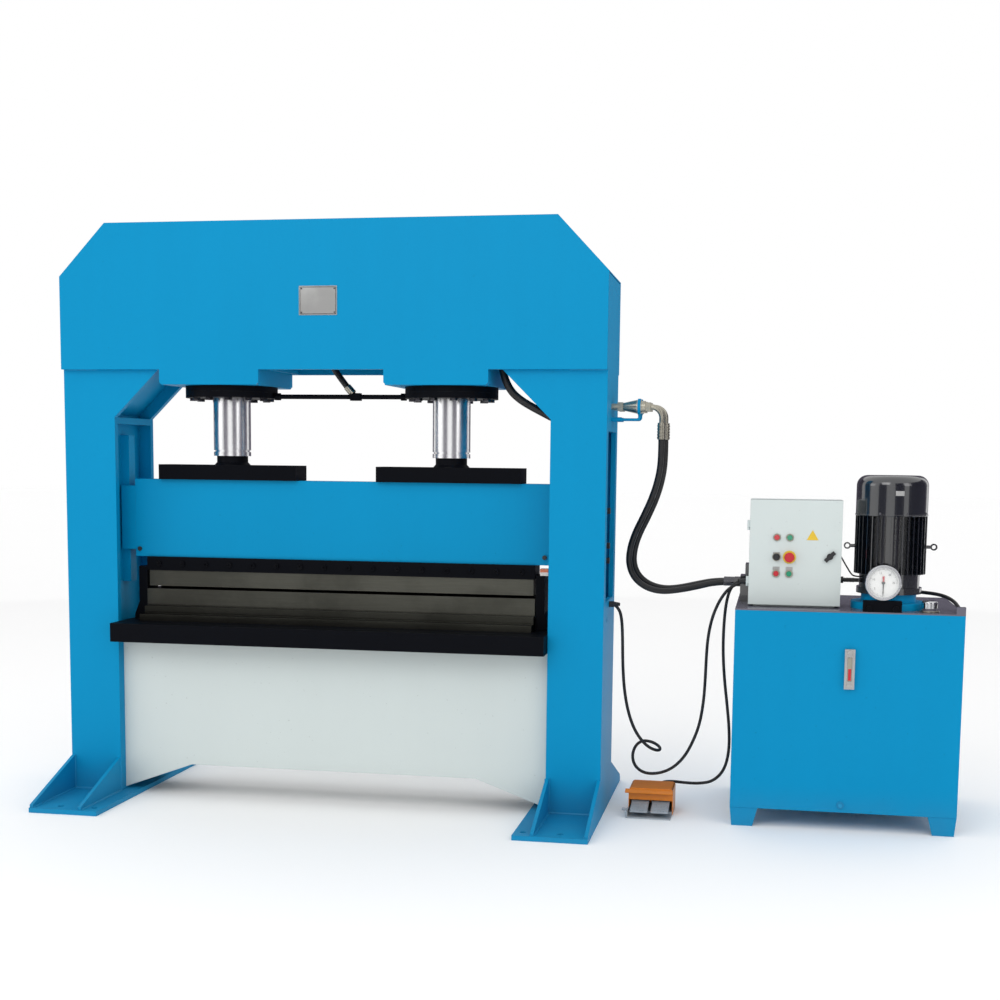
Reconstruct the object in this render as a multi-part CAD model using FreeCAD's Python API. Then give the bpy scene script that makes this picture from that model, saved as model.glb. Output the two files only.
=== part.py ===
"""Two-column hydraulic press with its power unit, hoses, cables and twin foot pedal.

Millimetres, +Z up, floor at Z = 0, operator's side towards -Y, press to the left of the power unit.
X = 0 is the middle of the whole installation and Y = 0 is the middle of the press.
Press pieces are drawn about the press's own centre line and moved into place when they are saved.
"""
import FreeCAD, Part
import math
import os

V = FreeCAD.Vector

# ---------------------------------------------------------------- overall
total_width = 3780.0
press_width = 2350.0
press_height = 2460.0
foot_depth = 1200.0

# ---------------------------------------------------------------- columns
column_width = 230.0
column_depth = 400.0
column_plate = 30.0
web_inset = 55.0
web_plate = 20.0
side_plate = 20.0
column_clearance = 10.0
window_above_table = 135.0
window_below_throat = 45.0
window_half_depth = 140.0
service_hole_radius = 12.5
service_hole_above_table = 56.0
service_hole_y = -72.0
throat_gusset = 200.0
throat_setback = 68.0
shelf_thickness = 28.0
shelf_slot_half_width = 30.0

# ---------------------------------------------------------------- feet
base_thickness = 20.0
base_inner_reach = 72.0
foot_gusset_plate = 15.0
foot_gusset_top = 169.0
foot_gusset_toe = 12.0
anchor_radius = 13.0
anchor_spacing_x = 150.0
anchor_edge = 60.0

# ---------------------------------------------------------------- crosshead
crosshead_plate = 25.0
crosshead_height = 610.0
shoulder_drop = 220.0
shoulder_width = 208.0
lobe_half_width = 220.0
lobe_drop = 63.0
lobe_offset = -20.0
lobe_corner = 10.0
cylinder_from_column = 455.0
seat_plate = 40.0
rib_plate = 20.0

# ---------------------------------------------------------------- cylinders and rams
ram_radius = 80.0
piston_radius = 109.95
piston_height = 80.0
barrel_bore = 110.0
barrel_radius = 150.0
barrel_drop = 60.0
barrel_head = 40.0
port_block_reach = 102.0
port_block_rise = 150.0
port_block_size = 40.0
gland_radius = 197.5
flange_height = 25.0
gland_height = 25.0
gland_bolt_circle = 165.0
gland_bolt_count = 12
gland_bolt_radius = 10.0
seal_height = 12.0
seal_width = 10.0
running_clearance = 0.05
neck_height = 39.0
ram_groove_height = 18.0
piston_lift = 58.0

# ---------------------------------------------------------------- slide
slide_end_gap = 20.0
slide_thickness = 100.0
slide_depth_below_crosshead = 805.0
slide_height = 340.0
pad_length = 625.0
pad_depth = 150.0
pad_height = 65.0
neck_radius = 67.0
neck_flare_radius = 78.0
neck_flare_height = 12.0
shoe_reach = 65.0
shoe_end_margin = 30.0
rail_depth = 40.0
rail_half_width = 30.0
rail_above_table = 160.0
rail_below_throat = 75.0
slide_gap = 0.3
guide_bolt_rises = (23.0, 86.0, 232.0)
guide_bolt_radius = 8.0

# ---------------------------------------------------------------- tooling and table
holder_end_margin = 58.0
holder_depth = 130.0
holder_height = 60.0
holder_screw_end = 57.0
holder_screw_count = 16
punch_end_margin = 7.0
punch_depth = 110.0
punch_height = 69.0
die_opening = 12.0
die_overhang = 8.0
die_depth = 130.0
die_height = 74.0
die_base_height = 60.0
die_base_step = 28.0
die_base_depth = 300.0
die_neck_depth = 190.0
table_thickness = 80.0
table_depth = 580.0
table_side_gap = 2.0
post_gap = 2.0
post_width = 38.0
post_foot_width = 60.0
post_depth = 120.0
post_height = 231.0
apron_plate = 20.0
apron_depth = 300.0
apron_bottom = 27.0
arch_end = 311.0
arch_top = 140.0
bed_rib_x = (200.0, 600.0)
bed_rib_plate = 15.0

# ---------------------------------------------------------------- pipe lines on the right column
line_below_crosshead = 142.0
line_pitch = 80.0
line_step = 10.0
hose_diameter = 26.0
elbow_radius = 46.0
line_reach = 208.0
ram_hose_diameter = 32.0
ram_hose_y = -100.0
ram_hose_end_drop = 210.0
pipe_diameter = 20.0
cross_pipe_rise = 9.0

# ---------------------------------------------------------------- tank
tank_width = 900.0
tank_front = -155.0
tank_depth = 750.0
tank_bottom = 76.0
tank_top = 891.0
tank_wall = 5.0
lid_thickness = 6.0
tank_foot_top = 113.0
tank_foot_bottom = 85.0
tank_foot_plate = 8.0
foot_edge_inset = 8.0
sight_offset = 10.0
sight_drop = 306.0
sight_height = 161.0
filler_from_motor = 152.0
filler_y = -83.0
filler_bore = 23.0

# ---------------------------------------------------------------- motor and pump
motor_from_box = 197.0
motor_y = 50.0
bell_flange_radius = 150.0
bell_flange_height = 28.0
bell_radius = 110.0
bell_height = 63.0
motor_flange_height = 25.0
motor_flange_radius = 130.0
motor_core_radius = 120.0
motor_rib_radius = 142.5
motor_rib_count = 36
motor_rib_rise = 55.0
motor_bottom_wall = 30.0
motor_height = 379.0
stator_bore = 85.5
rotor_radius = 85.0
shaft_radius = 21.0
drive_radius = 12.0
cowl_height = 163.0
cowl_wall = 3.0
cowl_corner = 42.0
eye_reach = 172.0
eye_radius = 14.0
eye_shank_radius = 7.0
eye_rise = 253.0

# ---------------------------------------------------------------- gauge and valves
gauge_from_motor = 35.0
gauge_radius = 70.0
gauge_depth = 45.0
gauge_front = -150.0
gauge_rise = 117.0
dial_recess = 12.0
dial_radius = 62.0
manifold_width = 150.0
manifold_height = 44.0
valve_from_left = 10.0
valve_behind_box = 10.0
valve_width = 110.0
valve_depth = 110.0
valve_port_rise = 81.0
valve_port_depths = (25.0, 85.0)

# ---------------------------------------------------------------- control box
box_from_left = 48.0
box_width = 370.0
box_front = -27.0
box_depth = 167.0
box_clearance = 8.0
box_height = 430.0
box_wall = 3.0
box_lip = 12.0
door_depth = 15.0
door_gap = 0.3
door_wall = 2.5
hinge_offset = 6.0
hinge_radius = 5.0
hinge_pin_radius = 2.5
hinge_rises = (85.0, 315.0)
hinge_barrel = 30.0
operator_from_left = 110.0
operator_pitch = 52.0
lamp_rise = 277.0
selector_rise = 197.0
button_rise = 129.0
operator_radius = 11.05
bezel_radius = 15.0
bezel_height = 4.0
estop_radius = 20.0
latch_from_right = 46.0
latch_rise = 202.0
latch_radius = 9.0
latch_tongue = 38.0
latch_grip_length = 52.0

# ---------------------------------------------------------------- foot pedal
pedal_left = 566.0
pedal_width = 181.0
pedal_front = -135.0
pedal_depth = 250.0
pedal_base_height = 15.0
pedal_apron_height = 6.0
guard_front = -45.0
guard_top = 112.0
guard_wall = 3.0
guard_mouth = 62.0
treadle_width = 72.0
treadle_thickness = 8.0
treadle_z = 79.0
treadle_tilt = 14.0
treadle_pivot_y = 75.0
treadle_pin_radius = 4.0
treadle_boss_radius = 9.0

# ---------------------------------------------------------------- cables
cable_diameter = 13.0
motor_cable_diameter = 15.0
cable_gland_radius = 12.0
cable_gland_length = 20.0

# ---------------------------------------------------------------- derived, press
press_x = (press_width - total_width) / 2
half_width = press_width / 2
column_inner = half_width - column_width
column_half_depth = column_depth / 2
inner_half_depth = column_half_depth - column_plate
web_face = column_inner + web_inset
anchor_spacing_y = foot_depth - 2 * anchor_edge
cylinder_x = column_inner - cylinder_from_column
inner_rib_x = cylinder_x + lobe_offset - lobe_half_width
crosshead_bottom = press_height - crosshead_height
crosshead_shoulder = press_height - shoulder_drop
crosshead_top_half = half_width - shoulder_width
column_top = crosshead_shoulder - column_clearance
barrel_top = press_height - barrel_drop
seat_bottom = crosshead_bottom - lobe_drop
gland_top = seat_bottom - flange_height
gland_bottom = gland_top - gland_height
slide_half_length = column_inner - slide_end_gap
slide_bottom = crosshead_bottom - slide_depth_below_crosshead
slide_top = slide_bottom + slide_height
pad_top = slide_top + pad_height
ram_bottom = pad_top + neck_height
ram_top = seat_bottom + piston_lift
holder_half_length = slide_half_length - holder_end_margin
holder_screw_pitch = 2 * (holder_half_length - holder_screw_end) / (holder_screw_count - 1)
holder_bottom = slide_bottom - holder_height
punch_half_length = holder_half_length - punch_end_margin
punch_bottom = holder_bottom - punch_height
die_half_length = punch_half_length + die_overhang
die_top = punch_bottom - die_opening
table_top = die_top - die_height - die_base_height
table_bottom = table_top - table_thickness
arch_half_width = column_inner - arch_end
throat_bottom = crosshead_bottom - throat_gusset
window_bottom = table_top + window_above_table
window_top = throat_bottom - window_below_throat
service_hole_z = table_top + service_hole_above_table
rail_bottom = table_top + rail_above_table
rail_top = throat_bottom - rail_below_throat
guide_bolt_levels = [slide_bottom + rise for rise in guide_bolt_rises]
line_z = crosshead_bottom - line_below_crosshead
cross_pipe_z = gland_bottom + cross_pipe_rise
ram_hose_end_z = crosshead_bottom - ram_hose_end_drop
supply_gland_z = window_bottom - 20

# ---------------------------------------------------------------- derived, power unit
tank_right = total_width / 2
tank_left = tank_right - tank_width
tank_back = tank_front + tank_depth
lid_top = tank_top + lid_thickness
sight_x = (tank_left + tank_right) / 2 + sight_offset
sight_bottom = tank_top - sight_drop
lid_gland_x = tank_right - 18
lid_gland_z = lid_top + 14
box_left = tank_left + box_from_left
box_right = box_left + box_width
box_bottom = lid_top + box_clearance
box_top = box_bottom + box_height
box_back = box_front + box_depth
door_front = box_front - door_depth
hinge_levels = [box_bottom + rise for rise in hinge_rises]
box_gland_z = box_bottom + 85
box_gland_y = (box_front + 87, box_front + 127)
operator_left_x = box_left + operator_from_left
operator_right_x = operator_left_x + operator_pitch
lamp_z = box_bottom + lamp_rise
selector_z = box_bottom + selector_rise
button_z = box_bottom + button_rise
latch_x = box_right - latch_from_right
latch_z = box_bottom + latch_rise
valve_x = tank_left + valve_from_left
valve_y = box_back + valve_behind_box
valve_port_z = lid_top + valve_port_rise
valve_port_y = [valve_y + depth for depth in valve_port_depths]
motor_x = box_right + motor_from_box
bell_top = lid_top + bell_height
motor_body_bottom = bell_top + motor_flange_height
motor_top = lid_top + motor_height
cowl_top = motor_top + cowl_height
eye_z = lid_top + eye_rise
motor_gland_x = motor_x + 35
motor_gland_y = motor_y + 165
motor_gland_z = lid_top + 163
gauge_x = motor_x - gauge_from_motor
filler_x = motor_x + filler_from_motor
gauge_z = lid_top + gauge_rise

# ---------------------------------------------------------------- derived, foot pedal
pedal_right = pedal_left + pedal_width
pedal_back = pedal_front + pedal_depth
pedal_gland_x = pedal_left + pedal_width / 2
pedal_gland_z = 60.0

# ---------------------------------------------------------------- cord routes, chosen by hand
pressure_route = [
    (668, -40, 1575), (668, -28, 1505), (660, -10, 1432), (635, 12, 1345), (594, 36, 1255),
    (558, 57, 1185), (536, 74, 1118), (530, 88, 1052), (551, 102, 992), (600, 116, 950),
    (664, 131, 932), (735, 145, 938), (815, 161, 954), (895, 174, 975), (975, 175, 978)]
return_route = [
    (678, 40, 1575), (678, 52, 1505), (671, 66, 1430), (648, 83, 1342), (608, 102, 1250),
    (572, 119, 1180), (550, 134, 1114), (545, 148, 1050), (567, 162, 994), (616, 176, 956),
    (678, 191, 940), (745, 205, 946), (820, 220, 963), (897, 235, 978), (975, 235, 978)]
ram_hose_route = [
    (722, ram_hose_y, 2000), (722, ram_hose_y, 1930), (724, ram_hose_y, 1862),
    (740, ram_hose_y, 1808), (765, ram_hose_y, 1764), (802, ram_hose_y, 1732),
    (843, ram_hose_y, 1708), (895, ram_hose_y, 1681), (943, ram_hose_y, 1657),
    (985, ram_hose_y, 1640)]
supply_route = [
    (480, 0, 885), (503, 3, 868), (515, 8, 818), (519, 12, 735), (521, 16, 630), (529, 19, 520),
    (547, 21, 425), (573, 22, 354), (603, 22, 308), (634, 26, 277), (663, 39, 261), (682, 63, 256),
    (682, 93, 262), (663, 117, 273), (632, 124, 283), (600, 123, 284), (573, 119, 262),
    (560, 113, 224), (568, 105, 183), (596, 100, 155), (636, 98, 144), (688, 98, 151),
    (738, 100, 175), (782, 103, 220), (816, 106, 282), (846, 106, 365), (861, 104, 465),
    (866, 100, 565), (868, 94, 660), (873, 88, 750), (890, 78, 838), (922, 68, 915), (966, 60, 972),
    (1018, 60, 990)]
pedal_route = [
    (1018, 100, 990), (984, 102, 984), (958, 108, 950), (944, 116, 890), (937, 124, 800),
    (936, 130, 690), (944, 132, 575), (959, 130, 460), (972, 126, 350), (974, 120, 250),
    (955, 116, 170), (908, 116, 120), (845, 126, 106), (785, 150, 102), (735, 185, 98),
    (692, 205, 90), (660, 190, 76), (650, 160, 64), (656, 135, 60)]
motor_route = [
    (1640, 215, 1040), (1641, 215, 1000), (1662, 211, 966), (1708, 202, 955),
    (1760, 180, 953), (1808, 138, 951), (1843, 80, 944), (1864, 12, 931), (1872, -50, 917),
    (1872, -105, 911)]


# ---------------------------------------------------------------- drawing helpers
def box(x0, x1, y0, y1, z0, z1):
    """Block between two corners."""
    return Part.makeBox(x1 - x0, y1 - y0, z1 - z0, V(x0, y0, z0))


def rod(x, y, z, radius, length, direction="z"):
    """Cylinder that starts at a point and runs along +X, +Y or +Z."""
    along = {"x": V(1, 0, 0), "y": V(0, 1, 0), "z": V(0, 0, 1)}[direction]
    return Part.makeCylinder(radius, length, V(x, y, z), along)


def cone(x, y, z, radius0, radius1, length, direction="z"):
    """Cone that starts at a point and runs along +X, +Y or +Z."""
    along = {"x": V(1, 0, 0), "y": V(0, 1, 0), "z": V(0, 0, 1)}[direction]
    return Part.makeCone(radius0, radius1, length, V(x, y, z), along)


def hexagon(x, y, z, across_flats, length, direction="z"):
    """Hexagonal bar that starts at a point and runs along +X, +Y or +Z."""
    corner = across_flats / math.sqrt(3)
    turns = [math.radians(60 * i) for i in range(7)]
    ring = [(corner * math.cos(turn), corner * math.sin(turn)) for turn in turns]
    spread = {"x": lambda a, b: V(x, y + a, z + b),
              "y": lambda a, b: V(x + a, y, z + b),
              "z": lambda a, b: V(x + a, y + b, z)}[direction]
    along = {"x": V(length, 0, 0), "y": V(0, length, 0), "z": V(0, 0, length)}[direction]
    return Part.Face(Part.makePolygon([spread(a, b) for a, b in ring])).extrude(along)


def plate_xz(points, y0, y1):
    """Plate whose outline is drawn from the front, in X and Z."""
    outline = [V(x, y0, z) for x, z in points]
    return Part.Face(Part.makePolygon(outline + outline[:1])).extrude(V(0, y1 - y0, 0))


def plate_yz(points, x0, x1):
    """Plate whose outline is drawn from the side, in Y and Z."""
    outline = [V(x0, y, z) for y, z in points]
    return Part.Face(Part.makePolygon(outline + outline[:1])).extrude(V(x1 - x0, 0, 0))


def fuse(*shapes):
    """Weld shapes into one clean solid."""
    return shapes[0].multiFuse(list(shapes[1:])).removeSplitter()


def cut(shape, *tools):
    """Take tools away from a shape."""
    return shape.cut(Part.makeCompound(list(tools))) if len(tools) > 1 else shape.cut(tools[0])


def group(shapes):
    """Separate solids that share one node."""
    return Part.makeCompound(shapes)


def moved(shape, x=0.0, y=0.0, z=0.0):
    """Copy of a shape, shifted."""
    return shape.translated(V(x, y, z))


def mirrored(shape):
    """Copy of a shape on the other side of the press's centre line."""
    return shape.mirror(V(0, 0, 0), V(1, 0, 0))


def bent_path(points):
    """Straight runs joined by tangent arcs, each as large as its two runs allow."""
    corners = [V(*p) for p in points]
    edges, radii, start = [], [], corners[0]
    for before, here, after in zip(corners, corners[1:], corners[2:]):
        into, out = (here - before), (after - here)
        turn = into.getAngle(out)
        reach = 0.45 * min(into.Length, out.Length)
        radii.append(reach / math.tan(turn / 2))
        into.normalize()
        out.normalize()
        first, last = here - into * reach, here + out * reach
        toward = (out - into).normalize()
        centre = here + toward * (radii[-1] / math.cos(turn / 2))
        middle = centre - toward * radii[-1]
        edges.append(Part.LineSegment(start, first).toShape())
        edges.append(Part.Arc(first, middle, last).toShape())
        start = last
    edges.append(Part.LineSegment(start, corners[-1]).toShape())
    return Part.Wire(edges), radii


def tube(name, points, diameter):
    """Round hose or cable along a bent path."""
    path, radii = bent_path(points)
    heading = V(*points[1]) - V(*points[0])
    section = Part.Face(Part.Wire(Part.makeCircle(diameter / 2, V(*points[0]), heading)))
    solid = Part.Solid(path.makePipe(section))
    expected = math.pi * diameter ** 2 / 4 * path.Length
    print(name, "length", round(path.Length), "smallest radius", round(min(radii) / diameter, 1),
          "diameters, volume ratio", round(solid.Volume / expected, 4))
    return solid


# ---------------------------------------------------------------- press frame
def foot():
    """Base plate and its four gussets, welded under the right-hand column."""
    inner = column_inner - base_inner_reach
    half = foot_depth / 2
    pieces = [box(inner, half_width, -half, half, 0, base_thickness)]
    profile = [(column_half_depth, base_thickness), (half - 10, base_thickness),
               (half - 10, base_thickness + foot_gusset_toe), (column_half_depth, foot_gusset_top)]
    for x in (column_inner, half_width - foot_gusset_plate):
        for side in (-1, 1):
            pieces.append(plate_yz([(side * y, z) for y, z in profile], x, x + foot_gusset_plate))
    first_hole = inner + base_inner_reach / 2
    holes = [rod(first_hole + dx, side * anchor_spacing_y / 2, -1, anchor_radius, base_thickness + 2)
             for dx in (0, anchor_spacing_x) for side in (-1, 1)]
    return cut(fuse(*pieces), *holes)


def throat():
    """Corner braces at the column's top: a triangle in each face plate, a set-back web and a shelf."""
    tip = column_inner - throat_gusset
    brace = [(column_inner, throat_bottom), (tip, crosshead_bottom), (tip, crosshead_bottom + 50),
             (column_inner, crosshead_bottom + 50)]
    level = column_inner + throat_bottom + throat_setback
    thick = web_plate * math.sqrt(2)
    sloping = [(web_face, level - web_face), (tip + 45, level - tip - 45),
               (tip + 45 + thick, level - tip - 45), (web_face, level + thick - web_face)]
    return [plate_xz(brace, -column_half_depth, -inner_half_depth),
            plate_xz(brace, inner_half_depth, column_half_depth),
            plate_xz(sloping, -inner_half_depth, inner_half_depth),
            box(column_inner, web_face, -inner_half_depth, inner_half_depth,
                throat_bottom - shelf_thickness, throat_bottom)]


def column():
    """Right-hand box column with its foot; the hidden side towards the slide is a guide recess."""
    shell = [
        foot(),
        box(column_inner, half_width, -column_half_depth, -inner_half_depth, base_thickness, column_top),
        box(column_inner, half_width, inner_half_depth, column_half_depth, base_thickness, column_top),
        box(half_width - side_plate, half_width, -inner_half_depth, inner_half_depth, base_thickness,
            column_top),
        box(web_face, web_face + web_plate, -inner_half_depth, inner_half_depth, base_thickness,
            crosshead_bottom),
        box(column_inner, column_inner + foot_gusset_plate, -inner_half_depth, inner_half_depth,
            base_thickness, table_bottom)]
    solid = fuse(*shell, *throat())
    window = box(half_width - side_plate - 1, half_width + 1, -window_half_depth, window_half_depth,
                 window_bottom, window_top)
    service = rod(half_width - side_plate - 1, service_hole_y, service_hole_z, service_hole_radius,
                  side_plate + 2, "x")
    bolt_holes = [rod(web_face - 1, 0, z, guide_bolt_radius + slide_gap, web_plate + 2, "x")
                  for z in guide_bolt_levels]
    return cut(solid, window, service, *bolt_holes)


def right_column():
    """Column with the holes that the two pressure lines pass through."""
    side_holes = [rod(half_width - side_plate - 1, y, line_z, pipe_diameter / 2 + 3, side_plate + 2, "x")
                  for y in line_levels()]
    web_hole = rod(web_face - 1, ram_hose_y, ram_hose_end_z, pipe_diameter / 2 + 1, web_plate + 2, "x")
    slot = box(column_inner - 1, web_face, ram_hose_y - shelf_slot_half_width,
               ram_hose_y + shelf_slot_half_width, throat_bottom - shelf_thickness - 1, throat_bottom + 1)
    return cut(column(), web_hole, slot, *side_holes)


def crosshead_outline():
    """Front view of a crosshead plate without its lobes."""
    return [(-half_width, crosshead_bottom), (half_width, crosshead_bottom),
            (half_width, crosshead_shoulder), (crosshead_top_half, press_height),
            (-crosshead_top_half, press_height), (-half_width, crosshead_shoulder)]


def lobe(x):
    """Square ear under a crosshead plate, in front of one cylinder flange."""
    low, half = seat_bottom, lobe_half_width
    x += lobe_offset
    high = crosshead_bottom + 10
    outline = [(x - half, high), (x - half, low + lobe_corner), (x - half + lobe_corner, low),
               (x + half - lobe_corner, low), (x + half, low + lobe_corner), (x + half, high)]
    return plate_xz(outline, 0, crosshead_plate)


def cylinder_seat(x):
    """Thick seat plate between two upright cheeks that close the ears' sides."""
    left, right = x + lobe_offset - lobe_half_width, x + lobe_offset + lobe_half_width
    half = column_half_depth
    top = seat_bottom + lobe_drop + 20
    seat = box(left, right, -half, half, seat_bottom, seat_bottom + seat_plate)
    cheeks = [box(edge, edge + rib_plate, -half, half, seat_bottom, top)
              for edge in (left, right - rib_plate)]
    bore = rod(x, 0, seat_bottom - 1, barrel_radius + slide_gap, seat_plate + 2)
    threads = [rod(x + dx, dy, seat_bottom - 1, gland_bolt_radius + slide_gap, seat_plate * 0.75)
               for dx, dy in bolt_circle(gland_bolt_count, gland_bolt_circle)]
    return cut(fuse(seat, *cheeks), bore, *threads)


def crosshead():
    """Welded top beam: two profile plates, a top shell, two cylinder seats and inner ribs."""
    outer = column_half_depth + crosshead_plate
    profile = fuse(plate_xz(crosshead_outline(), 0, crosshead_plate), lobe(-cylinder_x), lobe(cylinder_x))
    plates = [moved(profile, y=-outer), moved(profile, y=column_half_depth)]
    outline = [V(x, -column_half_depth, z) for x, z in crosshead_outline()]
    wire = Part.makePolygon(outline + outline[:1])
    inside = Part.Face(wire.makeOffset2D(-crosshead_plate))
    ring = Part.Face(wire).cut(inside).extrude(V(0, column_depth, 0))
    above_columns = box(-half_width - 1, half_width + 1, -outer, outer, column_top + 5, press_height + 1)
    shell = ring.common(above_columns)
    ribs = [box(x, x + rib_plate, -column_half_depth, column_half_depth, crosshead_bottom + 1,
                press_height - crosshead_plate / 2) for x in (-inner_rib_x - rib_plate, inner_rib_x)]
    return fuse(*plates, shell, cylinder_seat(-cylinder_x), cylinder_seat(cylinder_x), *ribs)


def lower_bed():
    """Apron weldment under the table, with an arch over the floor and upright ribs."""
    outline = [(-column_inner, apron_bottom), (-arch_half_width, arch_top), (arch_half_width, arch_top),
               (column_inner, apron_bottom), (column_inner, table_bottom), (-column_inner, table_bottom)]
    half = apron_depth / 2
    pieces = [plate_xz(outline, -half, -half + apron_plate), plate_xz(outline, half - apron_plate, half)]
    for x in [side * rib for rib in bed_rib_x for side in (-1, 1)]:
        pieces.append(box(x - bed_rib_plate / 2, x + bed_rib_plate / 2, -half + apron_plate / 2,
                          half - apron_plate / 2, arch_top + 10, table_bottom))
    return fuse(*pieces)


def table():
    """Thick bolster plate that fits between the columns."""
    half = column_inner - table_side_gap
    return box(-half, half, -table_depth / 2, table_depth / 2, table_bottom, table_top)


def die_base():
    """Stepped bar that carries the lower die."""
    low = box(-die_half_length, die_half_length, -die_base_depth / 2, die_base_depth / 2,
              table_top, table_top + die_base_step)
    neck = box(-die_half_length, die_half_length, -die_neck_depth / 2, die_neck_depth / 2,
               table_top + die_base_step, table_top + die_base_height)
    return fuse(low, neck)


def lower_die():
    """Ground steel bar that the work rests on."""
    return box(-die_half_length, die_half_length, -die_depth / 2, die_depth / 2,
               table_top + die_base_height, die_top)


def end_posts():
    """Upright stops at both ends of the tooling, each with a foot that flares outwards."""
    x = die_half_length + post_gap
    outline = [(x, table_top), (x + post_foot_width, table_top), (x + post_foot_width, table_top + 18),
               (x + post_width, table_top + 75), (x + post_width, table_top + post_height),
               (x, table_top + post_height)]
    post = plate_xz(outline, -post_depth / 2, post_depth / 2)
    return group([post, mirrored(post)])


# ---------------------------------------------------------------- cylinders
def bolt_circle(count, radius):
    """Places of evenly spaced bolts, none of them on the X axis."""
    step = 2 * math.pi / count
    return [(radius * math.cos(step * (i + 0.5)), radius * math.sin(step * (i + 0.5))) for i in range(count)]


def barrel():
    """Blind cylinder with a bolted flange at its mouth."""
    solid = fuse(rod(0, 0, gland_top, gland_radius, flange_height),
                 rod(0, 0, gland_top, barrel_radius, barrel_top - gland_top),
                 rod(0, 0, barrel_top - 1, barrel_radius / 3, 21))
    bore = rod(0, 0, gland_top - 1, barrel_bore, barrel_top - barrel_head - gland_top + 1)
    port = rod(0, 0, barrel_top - barrel_head - 1, pipe_diameter / 2, barrel_head + 30)
    holes = [rod(x, y, gland_top - 1, gland_bolt_radius + slide_gap, flange_height + 2)
             for x, y in bolt_circle(gland_bolt_count, gland_bolt_circle)]
    return cut(solid, bore, port, *holes)


def cylinders():
    """Both barrels, and the port block that is bolted to the right-hand one for the ram hose."""
    edge, half = cylinder_x + barrel_radius, port_block_size / 2
    low = crosshead_bottom + port_block_rise
    block = box(edge - 60, edge + port_block_reach, ram_hose_y - half, ram_hose_y + half, low, low + 2 * half)
    round_face = rod(cylinder_x, 0, low - 1, barrel_radius, 2 * half + 2)
    return group([moved(barrel(), -cylinder_x), moved(barrel(), cylinder_x), cut(block, round_face)])


def gland_rings():
    """Bolted rings that close the barrels round the rams."""
    ring = rod(0, 0, gland_bottom, gland_radius, gland_height)
    bore = rod(0, 0, gland_bottom - 1, ram_radius + running_clearance, gland_height + 2)
    groove = rod(0, 0, seal_bottom(), ram_radius + running_clearance + seal_width, seal_height)
    holes = [rod(x, y, gland_bottom - 1, gland_bolt_radius + slide_gap, gland_height + 2)
             for x, y in bolt_circle(gland_bolt_count, gland_bolt_circle)]
    one = cut(ring, bore, groove, *holes)
    return group([moved(one, -cylinder_x), moved(one, cylinder_x)])


def seal_bottom():
    """Height of the rod seal's groove."""
    return gland_bottom + (gland_height - seal_height) / 2


def rod_seals():
    """Lip seals that fill the grooves in the gland rings."""
    inner = ram_radius + running_clearance
    ring = cut(rod(0, 0, seal_bottom(), inner + seal_width, seal_height),
               rod(0, 0, seal_bottom() - 1, inner, seal_height + 2))
    return group([moved(ring, -cylinder_x), moved(ring, cylinder_x)])


def gland_bolts():
    """Hexagon bolts of both gland rings."""
    bolts = []
    for centre in (-cylinder_x, cylinder_x):
        for x, y in bolt_circle(gland_bolt_count, gland_bolt_circle):
            head = hexagon(centre + x, y, gland_bottom - 12, 30, 12)
            shank = rod(centre + x, y, gland_bottom - 1, gland_bolt_radius,
                        gland_height + flange_height + seat_plate / 2)
            bolts.append(fuse(head, shank))
    return group(bolts)


def ram():
    """Plated ram turned in one piece with its piston, with a groove above the neck."""
    body = fuse(rod(0, 0, ram_bottom, ram_radius, ram_top - ram_bottom + 1),
                rod(0, 0, ram_top, piston_radius, piston_height))
    ring = cut(rod(0, 0, ram_bottom + ram_groove_height, ram_radius + 5, 7),
               rod(0, 0, ram_bottom + ram_groove_height - 1, ram_radius - 6, 9))
    return cut(body, ring)


# ---------------------------------------------------------------- slide
def slide_beam():
    """Upright slab that carries the upper tooling."""
    return box(-slide_half_length, slide_half_length, -slide_thickness / 2, slide_thickness / 2,
               slide_bottom, slide_top)


def pressing_pads():
    """Thick plates on top of the slide, each with a round neck under its ram."""
    pad = fuse(box(-pad_length / 2, pad_length / 2, -pad_depth / 2, pad_depth / 2, slide_top, pad_top),
               cone(0, 0, pad_top, neck_flare_radius, neck_radius, neck_flare_height),
               rod(0, 0, pad_top - 1, neck_radius, neck_height + 1))
    return group([moved(pad, -cylinder_x), moved(pad, cylinder_x)])


def slide_shoes():
    """Forked guide blocks at the slide's ends, each straddling its rail."""
    half = slide_thickness / 2
    block = box(slide_half_length, slide_half_length + shoe_reach, -half, half,
                slide_bottom + shoe_end_margin, slide_top - shoe_end_margin)
    slot = box(web_face - rail_depth - slide_gap, slide_half_length + shoe_reach + 1,
               -rail_half_width - slide_gap, rail_half_width + slide_gap, slide_bottom, slide_top)
    shoe = cut(block, slot)
    return group([shoe, mirrored(shoe)])


def guide_rails():
    """Rails on the columns' webs."""
    rail = box(web_face - rail_depth, web_face, -rail_half_width, rail_half_width, rail_bottom, rail_top)
    return group([rail, mirrored(rail)])


def guide_bolts():
    """Long adjusting bolts that reach from each rail to the window in the column's side."""
    bolts = []
    head = 14.0
    for z in guide_bolt_levels:
        shank = rod(web_face + slide_gap, 0, z, guide_bolt_radius,
                    half_width - web_face - head - slide_gap, "x")
        bolt = fuse(shank, hexagon(half_width - head - 2, 0, z, 24, head, "x"),
                    hexagon(web_face + web_plate, 0, z, 24, 13, "x"))
        bolts += [bolt, mirrored(bolt)]
    return group(bolts)


def screw_places():
    """X positions of the holder's screws."""
    first = -holder_screw_pitch * (holder_screw_count - 1) / 2
    return [first + holder_screw_pitch * i for i in range(holder_screw_count)]


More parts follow.
